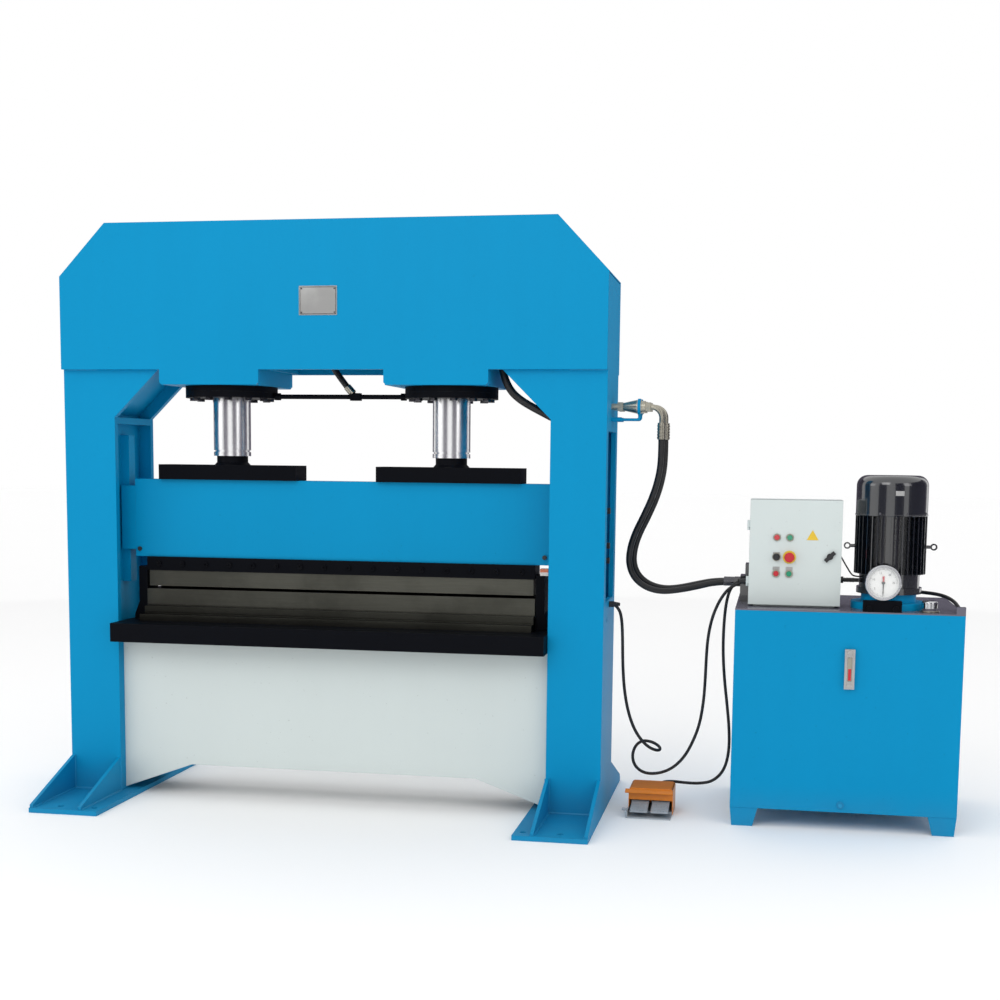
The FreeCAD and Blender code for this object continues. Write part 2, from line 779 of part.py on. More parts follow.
def punch_holder():
    """Bar under the slide, drilled along its front face."""
    bar = box(-holder_half_length, holder_half_length, -holder_depth / 2, holder_depth / 2,
              holder_bottom, slide_bottom)
    holes = [rod(x, -holder_depth / 2 - 1, holder_bottom + holder_height / 2, 6.3, 41, "y")
             for x in screw_places()]
    return cut(bar, *holes)


def holder_screws():
    """Cap screws along the front of the holder."""
    screws = []
    face = -holder_depth / 2
    for x in screw_places():
        z = holder_bottom + holder_height / 2
        head = cut(rod(x, face - 8, z, 11, 8, "y"), hexagon(x, face - 9, z, 10, 6, "y"))
        screws.append(fuse(head, rod(x, face - 1, z, 6, 39, "y")))
    return group(screws)


def punch():
    """Ground steel bar that presses the work."""
    return box(-punch_half_length, punch_half_length, -punch_depth / 2, punch_depth / 2,
               punch_bottom, holder_bottom)


# ---------------------------------------------------------------- lines on the press
def line_levels():
    """Depths of the two pressure lines on the right-hand column."""
    return (-line_pitch / 2, line_pitch / 2)


def cross_pipe():
    """Pipe between the two gland rings, with a tee and its sloping feed branch."""
    reach = cylinder_x - gland_radius
    tee_x = 69.0
    roof = press_height - crosshead_plate
    branch, _ = bent_path([(tee_x, 0, cross_pipe_z), (tee_x - 52, 0, cross_pipe_z + 58),
                           (tee_x - 120, 0, cross_pipe_z + 150), (tee_x - 140, 0, cross_pipe_z + 260),
                           (tee_x - 140, 0, roof)])
    section = Part.Face(Part.Wire(Part.makeCircle(pipe_diameter / 2, V(tee_x, 0, cross_pipe_z),
                                                  V(-52, 0, 58))))
    run = rod(-reach, 0, cross_pipe_z, pipe_diameter / 2, 2 * reach, "x")
    tee = box(tee_x - 22, tee_x + 22, -16, 16, cross_pipe_z - 16, cross_pipe_z + 16)
    nuts = [hexagon(x, 0, cross_pipe_z, 30, 22, "x") for x in (-reach + 1, reach - 23)]
    nuts.append(hexagon(tee_x - 140, 0, roof - 24, 30, 24))
    return fuse(run, tee, Part.Solid(branch.makePipe(section)), *nuts)


def fitting_line(number, y):
    """One pressure line outside the column: nipple, coupling, union, bent tube and hose ferrule."""
    face = half_width
    tube_radius = 11.0
    turn_x = face + line_reach + line_step * number
    pieces = [
        rod(face - 60, y, line_z, pipe_diameter / 2 + 2.5, 85, "x"),
        hexagon(face + 25, y, line_z, 36, 22, "x"),
        cone(face + 47, y, line_z, 15, 28, 58, "x"),
        rod(face + 105, y, line_z, 28, 20, "x"),
        rod(face + 125, y, line_z, 24, 15, "x"),
        hexagon(face + 140, y, line_z, 36, 22, "x"),
        rod(face + 162, y, line_z, tube_radius, turn_x - face - 162 - elbow_radius, "x")]
    start = V(turn_x - elbow_radius, y, line_z)
    end = V(turn_x, y, line_z - elbow_radius)
    diagonal = elbow_radius * math.sin(math.radians(45))
    middle = V(turn_x - elbow_radius + diagonal, y, line_z - elbow_radius + diagonal)
    arc = Part.Wire([Part.Arc(start, middle, end).toShape()])
    section = Part.Face(Part.Wire(Part.makeCircle(tube_radius, start, V(1, 0, 0))))
    pieces.append(Part.Solid(arc.makePipe(section)))
    ferrule_bottom = pressure_route[0][2]
    ferrule_top = ferrule_bottom + 68
    pieces.append(rod(turn_x, y, ferrule_top, tube_radius, line_z - elbow_radius - ferrule_top))
    pieces.append(rod(turn_x, y, ferrule_bottom, 17, 68))
    return pieces


def hose_fittings():
    """Both fitting lines; the front one runs on through the column to the ram hose."""
    front, back = line_levels()
    nut = hexagon(web_face - 15, ram_hose_y, ram_hose_end_z, 40, 15, "x")
    inner_route = [(web_face - 1, ram_hose_y, ram_hose_end_z), (web_face + 50, ram_hose_y, ram_hose_end_z),
                   (half_width - 80, front, line_z), (half_width - 40, front, line_z)]
    path, _ = bent_path(inner_route)
    section = Part.Face(Part.Wire(Part.makeCircle(pipe_diameter / 2, V(*inner_route[0]), V(1, 0, 0))))
    inner = Part.Solid(path.makePipe(section))
    return group([fuse(*fitting_line(0, front), inner, nut), fuse(*fitting_line(1, back))])


def hose_clamps():
    """Ring clamps on bent rods that hold the two couplings to the column."""
    clamps = []
    ring_x = half_width + 109
    rod_z = line_z - 52
    for y in line_levels():
        ring = cut(rod(ring_x, y, line_z, 33, 12, "x"), rod(ring_x - 1, y, line_z, 28 + slide_gap, 14, "x"))
        path, _ = bent_path([(half_width, y, rod_z), (ring_x + 6, y, rod_z), (ring_x + 6, y, line_z - 31)])
        section = Part.Face(Part.Wire(Part.makeCircle(5, V(half_width, y, rod_z), V(1, 0, 0))))
        bush = rod(half_width, y, rod_z, 9, 42, "x")
        clamps.append(fuse(ring, Part.Solid(path.makePipe(section)), bush))
    return group(clamps)


def data_plate():
    """Bare plate riveted to the crosshead."""
    face = -column_half_depth - crosshead_plate
    return box(-110, 53, face - 2, face, crosshead_bottom + 221, crosshead_bottom + 340)


# ---------------------------------------------------------------- power unit
def tank():
    """Open-topped sheet tank on four tapered corner feet."""
    outer = box(tank_left, tank_right, tank_front, tank_back, tank_bottom, tank_top)
    inner = box(tank_left + tank_wall, tank_right - tank_wall, tank_front + tank_wall,
                tank_back - tank_wall, tank_bottom + tank_wall, tank_top + 1)
    pieces = [cut(outer, inner)]
    leg = [(0, tank_bottom + 1), (tank_foot_top, tank_bottom + 1), (foot_edge_inset + tank_foot_bottom, 0),
           (foot_edge_inset, 0)]
    for side_x, x in ((1, tank_left), (-1, tank_right)):
        for side_y, y in ((1, tank_front), (-1, tank_back)):
            y0, y1 = sorted((y + side_y * 2, y + side_y * (2 + tank_foot_plate)))
            x0, x1 = sorted((x + side_x * foot_edge_inset, x + side_x * (foot_edge_inset + tank_foot_plate)))
            pieces.append(plate_xz([(x + side_x * a, b) for a, b in leg], y0, y1))
            side_leg = [(y + side_y * max(a, 2), b) for a, b in leg]
            pieces.append(plate_yz(side_leg, x0, x1))
    return fuse(*pieces)


def tank_lid():
    """Top plate with the pump opening, the filler neck and a small cable block."""
    plate = box(tank_left, tank_right, tank_front, tank_back, tank_top, lid_top)
    neck = rod(filler_x, filler_y, lid_top - 1, filler_bore + 6, 16)
    block = box(tank_right - 36, tank_right, tank_front, tank_front + 30, lid_top - 1, lid_gland_z + 14)
    pump_hole = rod(motor_x, motor_y, tank_top - 1, 60, lid_thickness + 2)
    filler_hole = rod(filler_x, filler_y, tank_top - 1, filler_bore, lid_thickness + 30)
    return cut(fuse(plate, neck, block), pump_hole, filler_hole)


def filler_cap():
    """Vented cap that turns in the filler neck."""
    seat = lid_top + 15 + slide_gap
    dome = rod(filler_x, filler_y, seat, 32, 30)
    dome = dome.makeFillet(9, [e for e in dome.Edges if e.BoundBox.ZMin > seat + 29])
    return fuse(dome, rod(filler_x, filler_y, seat - 8, filler_bore - running_clearance, 9))


def level_gauge():
    """Column sight gauge on the tank's front."""
    body = box(sight_x - 20, sight_x + 20, tank_front - 20, tank_front, sight_bottom,
               sight_bottom + sight_height)
    slot = box(sight_x - 9, sight_x + 9, tank_front - 21, tank_front - 12, sight_bottom + 32,
               sight_bottom + sight_height - 32)
    glass = rod(sight_x, tank_front - 12, sight_bottom + 20, 6, sight_height - 40)
    screws = [hexagon(sight_x, tank_front - 26, z, 17, 7, "y")
              for z in (sight_bottom + 14, sight_bottom + sight_height - 14)]
    return fuse(cut(body, slot), glass, *screws)


def bell_housing():
    """Flanged spacer between the lid and the motor."""
    solid = fuse(rod(motor_x, motor_y, lid_top, bell_flange_radius, bell_flange_height),
                 rod(motor_x, motor_y, lid_top, bell_radius, bell_height))
    return cut(solid, rod(motor_x, motor_y, lid_top - 1, 60, bell_height + 2))


def motor_housing():
    """Ribbed stator housing with its flange, lifting eyes and terminal box."""
    length = motor_top - motor_body_bottom
    pieces = [rod(motor_x, motor_y, bell_top, motor_flange_radius, motor_flange_height),
              rod(motor_x, motor_y, bell_top + 1, motor_core_radius, motor_top - bell_top - 1)]
    for i in range(motor_rib_count):
        rib = box(motor_core_radius - 3, motor_rib_radius, -2, 2, motor_body_bottom + motor_rib_rise,
                  motor_top)
        rib.rotate(V(0, 0, 0), V(0, 0, 1), 360 / motor_rib_count * (i + 0.5))
        pieces.append(moved(rib, motor_x, motor_y))
    for side in (-1, 1):
        eye_x = motor_x + side * eye_reach
        near, far = sorted((motor_x + side * (motor_core_radius - 2), eye_x - side * (eye_radius - 4)))
        pieces.append(rod(near, motor_y, eye_z, eye_shank_radius, far - near, "x"))
        pieces.append(cut(rod(eye_x, motor_y - 5, eye_z, eye_radius, 10, "y"),
                          rod(eye_x, motor_y - 6, eye_z, eye_radius - 6, 12, "y")))
    pieces.append(box(motor_gland_x - 90, motor_gland_x + 30, motor_y + motor_core_radius - 4,
                      motor_gland_y + 30, motor_gland_z, motor_gland_z + 110))
    bore = rod(motor_x, motor_y, bell_top + motor_bottom_wall, stator_bore, length - 20)
    shaft = rod(motor_x, motor_y, bell_top - 1, shaft_radius + running_clearance, motor_top)
    return cut(fuse(*pieces), bore, shaft)


def fan_cover():
    """Rounded sheet cowl over the motor's fan, with ring rows of intake holes."""
    outer = rod(motor_x, motor_y, motor_top, motor_rib_radius, cowl_top - motor_top)
    outer = outer.makeFillet(cowl_corner, [e for e in outer.Edges if e.BoundBox.ZMin > cowl_top - 1])
    inner = rod(motor_x, motor_y, motor_top - 1, motor_rib_radius - cowl_wall,
                cowl_top - motor_top - cowl_wall + 1)
    inner = inner.makeFillet(cowl_corner - cowl_wall,
                             [e for e in inner.Edges if e.BoundBox.ZMin > cowl_top - cowl_wall - 1])
    holes = []
    for count, radius in ((8, 35), (14, 62), (20, 89)):
        for x, y in bolt_circle(count, radius):
            holes.append(rod(motor_x + x, motor_y + y, cowl_top - cowl_wall - 2, 7, cowl_wall + 4))
    return cut(outer, inner, *holes)


def rotor():
    """Motor shaft with its core, fan, coupling hub and the pump's drive shaft."""
    bottom = lid_top + 8
    pieces = [rod(motor_x, motor_y, bottom + 20, shaft_radius, motor_top + 90 - bottom - 20),
              rod(motor_x, motor_y, bottom, 40, 46),
              rod(motor_x, motor_y, tank_top - 70, drive_radius, 90),
              rod(motor_x, motor_y, bell_top + 70, rotor_radius, 190),
              rod(motor_x, motor_y, motor_top + 28, 38, 50)]
    for i in range(8):
        blade = box(30, 122, -2, 2, motor_top + 30, motor_top + 76)
        blade.rotate(V(0, 0, 0), V(0, 0, 1), 45 * i)
        pieces.append(moved(blade, motor_x, motor_y))
    return fuse(*pieces)


def pump():
    """Pump hung under the lid, bored for its drive shaft, with a suction pipe and strainer."""
    body = fuse(rod(motor_x, motor_y, tank_top - 14, 90, 14),
                rod(motor_x, motor_y, tank_top - 190, 64, 180),
                rod(motor_x, motor_y, 250, 17, tank_top - 430),
                rod(motor_x, motor_y, 120, 42, 140))
    return cut(body, rod(motor_x, motor_y, tank_top - 72, drive_radius + running_clearance, 80))


def manifold():
    """Port block at the foot of the bell housing, under the pressure gauge."""
    block = box(gauge_x - manifold_width / 2, gauge_x + manifold_width / 2, gauge_front,
                motor_y - bell_flange_radius - 3, lid_top, lid_top + manifold_height)
    plugs = [hexagon(x, gauge_front - 8, lid_top + 14, 22, 9, "y") for x in (gauge_x - 52, gauge_x + 52)]
    return fuse(block, *plugs)


def gauge_case():
    """Round pressure gauge with a recessed dial and a bottom stem."""
    case = rod(gauge_x, gauge_front, gauge_z, gauge_radius, gauge_depth, "y")
    rims = [e for e in case.Edges if e.BoundBox.YMax < gauge_front + 1]
    case = case.makeFillet(3, rims)
    dish = rod(gauge_x, gauge_front - 1, gauge_z, dial_radius, dial_recess + 1, "y")
    pin_hole = rod(gauge_x, gauge_front, gauge_z, 3 + running_clearance, 30, "y")
    foot_z = lid_top + manifold_height
    stem = rod(gauge_x, gauge_front + 22, foot_z, 9, gauge_z - gauge_radius - foot_z + 6)
    return fuse(cut(case, dish, pin_hole), stem)


def gauge_pointer():
    """Pointer on a short spindle, hanging at the dial's zero."""
    y = gauge_front + dial_recess - 5
    arm = plate_xz([(-4, 26), (4, 26), (3, 0), (0.8, -52), (-0.8, -52), (-3, 0)], 0, 1.5)
    return fuse(moved(arm, gauge_x, y, gauge_z), rod(gauge_x, y - 1, gauge_z, 7, 3.5, "y"),
                rod(gauge_x, y, gauge_z, 3, 20, "y"))


def valve_block():
    """Manifold behind the control box with two solenoid valves and the hose nuts."""
    x1, y1 = valve_x + valve_width, valve_y + valve_depth
    pieces = [box(valve_x, x1, valve_y, y1, lid_top, lid_top + 110)]
    for y in valve_port_y:
        pieces.append(hexagon(valve_x - 25, y, valve_port_z, 36, 26, "x"))
        pieces.append(box(valve_x + 20, x1 - 20, y - 22, y + 22, lid_top + 109, lid_top + 160))
        pieces.append(rod(x1 - 21, y, lid_top + 135, 20, 70, "x"))
    return fuse(*pieces)


# ---------------------------------------------------------------- control box
def control_box():
    """Sheet enclosure on two foot strips, with an inward lip and two hinge pins."""
    x0, x1 = box_left, box_right
    z0, z1 = box_bottom, box_top
    y1 = box_back
    w, lip = box_wall, box_lip
    shell = cut(box(x0, x1, box_front, y1, z0, z1),
                box(x0 + w, x1 - w, box_front + w, y1 - w, z0 + w, z1 - w),
                box(x0 + lip, x1 - lip, box_front - 1, box_front + w + 1, z0 + lip, z1 - lip))
    feet = [box(x0 + 20, x1 - 20, y, y + 25, lid_top, z0 + 1) for y in (box_front + 15, y1 - 40)]
    pins = []
    axis_x, axis_y = x0 - hinge_offset, box_front - 3
    for z in hinge_levels:
        pins.append(box(axis_x - hinge_radius, x0 + 1, box_front, box_front + 8, z - 10, z))
        pins.append(rod(axis_x, axis_y, z - 10, hinge_radius, 10))
        pins.append(rod(axis_x, axis_y, z - 1, hinge_pin_radius, hinge_barrel - 2))
    return fuse(shell, *feet, *pins)


def operator_places():
    """X and Z of the six operators, row by row from the top."""
    return [(x, z) for z in (lamp_z, selector_z, button_z) for x in (operator_left_x, operator_right_x)]


def box_door():
    """Tray-shaped door with bezels, operator holes and hinge barrels."""
    x0, x1 = box_left, box_right
    z0, z1 = box_bottom, box_top
    back = box_front - door_gap
    tray = cut(box(x0, x1, door_front, back, z0, z1),
               box(x0 + door_wall, x1 - door_wall, door_front + door_wall, back + 1,
                   z0 + door_wall, z1 - door_wall))
    pieces, holes = [tray], []
    for x, z in operator_places():
        pieces.append(rod(x, door_front - bezel_height, z, bezel_radius, bezel_height + 1, "y"))
        holes.append(rod(x, door_front - 10, z, operator_radius + running_clearance, 20, "y"))
    holes.append(rod(latch_x, door_front - 1, latch_z, latch_radius + running_clearance, 20, "y"))
    axis_x, axis_y = x0 - hinge_offset, box_front - 3
    for z in hinge_levels:
        low = z + slide_gap
        pieces.append(rod(axis_x, axis_y, low, hinge_radius, hinge_barrel))
        pieces.append(box(axis_x, x0 + 1, axis_y - 5, axis_y - 2, low, low + hinge_barrel))
        holes.append(rod(axis_x, axis_y, low - 1, hinge_pin_radius + running_clearance, hinge_barrel + 2))
    return cut(fuse(*pieces), *holes)


def operator(x, z, cap_radius, cap_front, cap_back):
    """Push operator: a cap in front of the bezel on a stem through the door."""
    stem = rod(x, cap_back, z, operator_radius, door_front + 22 - cap_back, "y")
    cap = rod(x, cap_front, z, cap_radius, cap_back - cap_front + 1, "y")
    edges = [e for e in cap.Edges if e.BoundBox.YMax < cap_front + 0.5]
    return fuse(cap.makeFillet(min(3.0, (cap_back - cap_front) / 2), edges), stem)


def pilot_lamps():
    """Two domed signal lamps."""
    front = door_front - bezel_height - 9
    return group([operator(x, lamp_z, operator_radius, front, front + 8)
                  for x in (operator_left_x, operator_right_x)])


def push_button(x):
    """Flat push button, standing far enough out to travel."""
    front = door_front - bezel_height - 7
    return operator(x, button_z, operator_radius, front, front + 6)


def estop():
    """Mushroom-headed stop button."""
    front = door_front - bezel_height - 24
    return operator(operator_right_x, selector_z, estop_radius, front, front + 13)


def selector():
    """Turn switch with a raised grip."""
    back = door_front - bezel_height - slide_gap
    knob = rod(operator_left_x, back - 8, selector_z, 14, 8, "y")
    grip = box(operator_left_x - 4.5, operator_left_x + 4.5, back - 20, back - 7, selector_z - 13,
               selector_z + 13)
    stem = rod(operator_left_x, back - 1, selector_z, operator_radius, 22, "y")
    return fuse(knob, grip, stem)


def latch():
    """Quarter-turn latch: round head with a slanted grip, spindle and inner tongue, drawn unlocked."""
    head = rod(latch_x, door_front - 4, latch_z, 13, 3.7, "y")
    grip = box(-latch_grip_length / 2, latch_grip_length / 2, -12, -3.5, -8, 8)
    grip.rotate(V(0, 0, 0), V(0, 1, 0), -45)
    tongue_y = box_front + box_wall + 0.7
    spindle = rod(latch_x, door_front - 1, latch_z, latch_radius, tongue_y + 4 - door_front + 1, "y")
    tongue = box(latch_x - 8, latch_x + 8, tongue_y, tongue_y + 4, latch_z - latch_tongue, latch_z + 8)
    return fuse(head, moved(grip, latch_x, door_front, latch_z), spindle, tongue)


def contactor_panel():
    """Back plate with a rail, two contactors, an overload relay and a terminal strip."""
    back = box_back - box_wall
    x0, x1 = box_left + 24, box_right - 24
    z0, z1 = box_bottom + 26, box_top - 26
    pieces = [box(x0, x1, back - 12, back - 9, z0, z1)]
    pieces += [rod(x, back - 10, z, 6, 10, "y") for x in (x0 + 14, x1 - 14) for z in (z0 + 14, z1 - 14)]
    for z in (z0 + 95, z0 + 265):
        pieces.append(box(x0 + 10, x1 - 10, back - 20, back - 11, z - 17, z + 17))
    for x, width in ((x0 + 30, 55), (x0 + 100, 55), (x0 + 175, 75)):
        pieces.append(box(x, x + width, back - 95, back - 19, z0 + 222, z0 + 308))
    pieces.append(box(x0 + 25, x1 - 25, back - 62, back - 19, z0 + 70, z0 + 120))
    return fuse(*pieces)


def motor_conduit():
    """Short ribbed conduit from the box's side to the motor."""
    x0 = box_right
    x1 = motor_x - motor_core_radius
    y, z = motor_y, lid_top + 111
    pieces = [rod(x0, y, z, 8, x1 - x0 - 0.7, "x"), hexagon(x0, y, z, 26, 14, "x")]
    pieces += [rod(x, y, z, 9.5, 3, "x") for x in range(int(x0) + 18, int(x1) - 22, 6)]
    return fuse(*pieces)


# ---------------------------------------------------------------- foot pedal
def pedal_base():
    """Cast base with three lugs and the pin that the treadles turn on."""
    pieces = [box(pedal_left, pedal_right, pedal_front, pedal_back - guard_wall, 0, pedal_apron_height),
              box(pedal_left, pedal_right, guard_front, pedal_back - guard_wall, 0, pedal_base_height)]
    middle = (pedal_left + pedal_right) / 2
    for x in (pedal_left, middle - 4, pedal_right - 8):
        pieces.append(box(x, x + 8, treadle_pivot_y - 15, treadle_pivot_y + 12, pedal_base_height - 1,
                          treadle_z + 12))
    pieces.append(rod(pedal_left + 4, treadle_pivot_y, treadle_z, treadle_pin_radius, pedal_width - 8, "x"))
    return fuse(*pieces)


def pedal_guard():
    """Folded hood over the treadles, open towards the operator."""
    x0, x1 = pedal_left - guard_wall, pedal_right + guard_wall
    w = guard_wall
    hood = box(x0, x1, guard_front, pedal_back, 3, guard_top)
    hood = hood.makeFillet(14, [e for e in hood.Edges
                                if e.BoundBox.ZMin > guard_top - 1 and e.BoundBox.XLength < 1])
    room = box(pedal_left, pedal_right, guard_front + w, pedal_back - w, 0, guard_top - w)
    mouth = box(pedal_left, pedal_right, guard_front - 1, guard_front + w + 1, 0, guard_mouth)
    return cut(hood, room, mouth)


def treadle(x):
    """One foot treadle that slopes down to the toe, with grip ribs and its pivot boss."""
    low = treadle_z - treadle_thickness / 2
    plate = box(x, x + treadle_width, pedal_front + 2, treadle_pivot_y, low, low + treadle_thickness)
    ribs = [box(x + 6, x + treadle_width - 6, y, y + 5, low + treadle_thickness - 1,
                low + treadle_thickness + 2) for y in range(int(pedal_front) + 18, int(guard_front) - 10, 14)]
    boss = rod(x, treadle_pivot_y, treadle_z, treadle_boss_radius, treadle_width, "x")
    bore = rod(x - 1, treadle_pivot_y, treadle_z, treadle_pin_radius + running_clearance,
               treadle_width + 2, "x")
    shape = cut(fuse(plate, boss, *ribs), bore)
    shape.rotate(V(x, treadle_pivot_y, treadle_z), V(1, 0, 0), treadle_tilt)
    return shape


def treadle_places():
    """Left edges of the two treadles, each centred between its lugs."""
    bay = (pedal_width - 24) / 2
    side = (bay - treadle_width) / 2
    return (pedal_left + 8 + side, pedal_right - 8 - side - treadle_width)


# ---------------------------------------------------------------- cable glands
def cable_glands():
    """Hexagonal glands on the column, the control box, the motor, the lid and the pedal."""
    flats, length = 2 * cable_gland_radius, cable_gland_length
    return group([
        hexagon(half_width + press_x, 0, supply_gland_z, flats, length, "x"),
        hexagon(box_left - length, box_gland_y[0], box_gland_z, flats, length, "x"),
        hexagon(box_left - length, box_gland_y[1], box_gland_z, flats, length, "x"),
        hexagon(motor_gland_x, motor_gland_y, motor_gland_z - length, flats, length, "z"),
        hexagon(lid_gland_x, tank_front + 30, lid_gland_z, flats, length, "y"),
        hexagon(pedal_gland_x, pedal_back, pedal_gland_z, flats, length, "y")])


# ---------------------------------------------------------------- save every node
def press_nodes():
    """Pieces drawn about the press's centre line."""
    return {
        "left_column": mirrored(column()), "right_column": right_column(), "crosshead": crosshead(),
        "lower_bed": lower_bed(), "table": table(), "die_base": die_base(), "lower_die": lower_die(),
        "end_posts": end_posts(), "cylinders": cylinders(), "gland_rings": gland_rings(),
        "rod_seals": rod_seals(), "gland_bolts": gland_bolts(), "left_ram": moved(ram(), -cylinder_x),
        "right_ram": moved(ram(), cylinder_x), "slide_beam": slide_beam(),
        "pressing_pads": pressing_pads(), "slide_shoes": slide_shoes(), "guide_rails": guide_rails(),
        "guide_bolts": guide_bolts(), "punch_holder": punch_holder(), "holder_screws": holder_screws(),
        "punch": punch(), "cross_pipe": cross_pipe(), "hose_fittings": hose_fittings(),
        "hose_clamps": hose_clamps(), "data_plate": data_plate(),
        "ram_hose": tube("ram_hose", ram_hose_route, ram_hose_diameter)}


def unit_nodes():
    """Pieces drawn where they stand: power unit, cords and foot pedal."""
    left_treadle, right_treadle = treadle_places()
    return {
        "tank": tank(), "tank_lid": tank_lid(), "filler_cap": filler_cap(), "level_gauge": level_gauge(),
        "bell_housing": bell_housing(), "motor_housing": motor_housing(), "fan_cover": fan_cover(),
        "rotor": rotor(), "pump": pump(), "manifold": manifold(), "gauge_case": gauge_case(),
        "gauge_pointer": gauge_pointer(), "valve_block": valve_block(), "control_box": control_box(),
        "box_door": box_door(), "pilot_lamps": pilot_lamps(), "selector": selector(), "estop": estop(),
        "red_button": push_button(operator_left_x), "green_button": push_button(operator_right_x),
        "latch": latch(), "contactor_panel": contactor_panel(), "motor_conduit": motor_conduit(),
        "pedal_base": pedal_base(), "pedal_guard": pedal_guard(), "left_pedal": treadle(left_treadle),
        "right_pedal": treadle(right_treadle), "cable_glands": cable_glands(),
        "pressure_hose": tube("pressure_hose", pressure_route, hose_diameter),
        "return_hose": tube("return_hose", return_route, hose_diameter),
        "supply_cable": tube("supply_cable", supply_route, cable_diameter),
        "pedal_cable": tube("pedal_cable", pedal_route, cable_diameter),
        "motor_cable": tube("motor_cable", motor_route, motor_cable_diameter)}


def save(nodes, shift_x):
    """Write one STEP file per node."""
    for name, shape in nodes.items():
        placed = moved(shape, shift_x)
        assert placed.isValid(), name
        placed.exportStep("parts/" + name + ".step")
        bounds = placed.BoundBox
        print(f"{name:16s} solids {len(placed.Solids):3d}  X {bounds.XMin:8.1f} {bounds.XMax:8.1f}"
              f"  Y {bounds.YMin:7.1f} {bounds.YMax:7.1f}  Z {bounds.ZMin:7.1f} {bounds.ZMax:7.1f}")


os.makedirs("parts", exist_ok=True)
save(press_nodes(), press_x)
save(unit_nodes(), 0)
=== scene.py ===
"""Finishes, cords, small details, studio and camera for a two-column hydraulic press."""

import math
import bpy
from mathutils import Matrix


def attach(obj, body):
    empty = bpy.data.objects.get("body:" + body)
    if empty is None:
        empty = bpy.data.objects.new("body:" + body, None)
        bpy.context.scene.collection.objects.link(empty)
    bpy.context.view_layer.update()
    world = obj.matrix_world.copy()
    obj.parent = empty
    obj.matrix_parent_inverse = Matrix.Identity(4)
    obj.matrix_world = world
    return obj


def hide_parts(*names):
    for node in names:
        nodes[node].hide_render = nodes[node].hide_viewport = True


bl_info = {
    "name": "Hydraulic press finish",
    "version": (1, 0, 0),
    "blender": (4, 5, 0),
    "location": "3D View > Sidebar > Press",
    "description": "Finishes and details a two-column hydraulic press with its power unit",
    "category": "Object",
}

import bmesh
import bpy
from mathutils import Matrix, Vector

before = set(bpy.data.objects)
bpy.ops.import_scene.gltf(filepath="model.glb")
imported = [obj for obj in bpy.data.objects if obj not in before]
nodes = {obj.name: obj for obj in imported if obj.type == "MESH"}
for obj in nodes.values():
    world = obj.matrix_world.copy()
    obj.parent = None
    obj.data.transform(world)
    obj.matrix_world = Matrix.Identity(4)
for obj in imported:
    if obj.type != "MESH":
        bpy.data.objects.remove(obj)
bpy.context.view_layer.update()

ROOT = "press_frame"
PRESS_X = -0.715                              # middle of the press
COLUMN_FACE = 0.200                           # half depth of a column
GAUGE_CENTRE = Vector((1.570, -0.150, 1.014))
MOTOR_AXIS = Vector((1.605, 0.050, 0))
DOOR_FACE = -0.042                            # outer face of the control box door
SELECTOR_X, STOP_X = 1.148, 1.200             # the two columns of operators on the door
OPERATOR_COLUMNS = (SELECTOR_X, STOP_X)
SWITCH_Z = 1.102                              # height of the stop button and the selector
TREADLE_PIN_Y, TREADLE_PIN_Z = 0.075, 0.079   # pin of the treadles
TREADLE_SLOPE = 0.2493                        # rise per metre of a treadle's top
LIP_TILT = 0.45                               # angle of the hood's lip
FLOOR_RADIUS, WALL_RADIUS, WALL_HEIGHT = 60, 10, 7
LIGHT_TARGET = Vector((-0.2, 0, 1.1))
X, Y, Z = Vector((1, 0, 0)), Vector((0, 1, 0)), Vector((0, 0, 1))


# ---------------------------------------------------------------- sizes and colours
def colour(name, description, default):
    """Colour setting with its name, description and default."""
    return bpy.props.FloatVectorProperty(name=name, description=description, default=default,
                                         subtype="COLOR", size=3, min=0, max=1)


def length(name, description, default):
    """Length setting in metres."""
    return bpy.props.FloatProperty(name=name, description=description, default=default,
                                   unit="LENGTH", subtype="DISTANCE", min=0)


class PressColours(bpy.types.PropertyGroup):
    """Colours of the paints, metals, rubbers and plastics."""
    blue: colour("Blue", "Enamel on the frame, slide and tank", (0.0, 0.248, 0.49))
    white: colour("Off-white", "Enamel on the apron and the control box", (0.595, 0.655, 0.645))
    black: colour("Black", "Enamel on the table, holder and pads", (0.0035, 0.004, 0.006))
    steel: colour("Steel", "Ground steel of the tooling", (0.105, 0.105, 0.088))
    plated: colour("Plated", "Zinc on fittings and screws", (0.42, 0.42, 0.40))
    chrome: colour("Chrome", "Plating on the rams and bezels", (0.62, 0.63, 0.65))
    motor: colour("Motor black", "Gloss enamel on the motor", (0.003, 0.005, 0.009))
    rubber: colour("Rubber", "Hoses and cables", (0.006, 0.006, 0.007))
    orange: colour("Orange", "Hood of the foot pedal", (0.68, 0.19, 0.002))
    grey: colour("Grey", "Treadles and base of the foot pedal", (0.32, 0.355, 0.39))
    red: colour("Red", "Stop head, red button and red lamp", (0.50, 0.010, 0.022))
    green: colour("Green", "Green button and green lamp", (0.004, 0.25, 0.13))
    yellow: colour("Yellow", "Ring behind the stop head", (0.75, 0.50, 0.03))


class PressSizes(bpy.types.PropertyGroup):
    """Sizes of the details that are added to the frame."""
    edge: length("Edge radius", "How far painted edges are softened", 0.0022)
    weld: length("Weld leg", "Radius of a fillet weld bead", 0.006)
    hose: length("Hose diameter", "Outside diameter of the two pressure hoses", 0.026)
    ram_hose: length("Ram hose diameter", "Outside diameter of the ram hose", 0.032)
    cable: length("Cable diameter", "Outside diameter of the control cables", 0.013)
    motor_cable: length("Motor cable diameter", "Outside diameter of the motor cable", 0.015)
    tick: length("Tick length", "Length of a long tick on the gauge dial", 0.009)


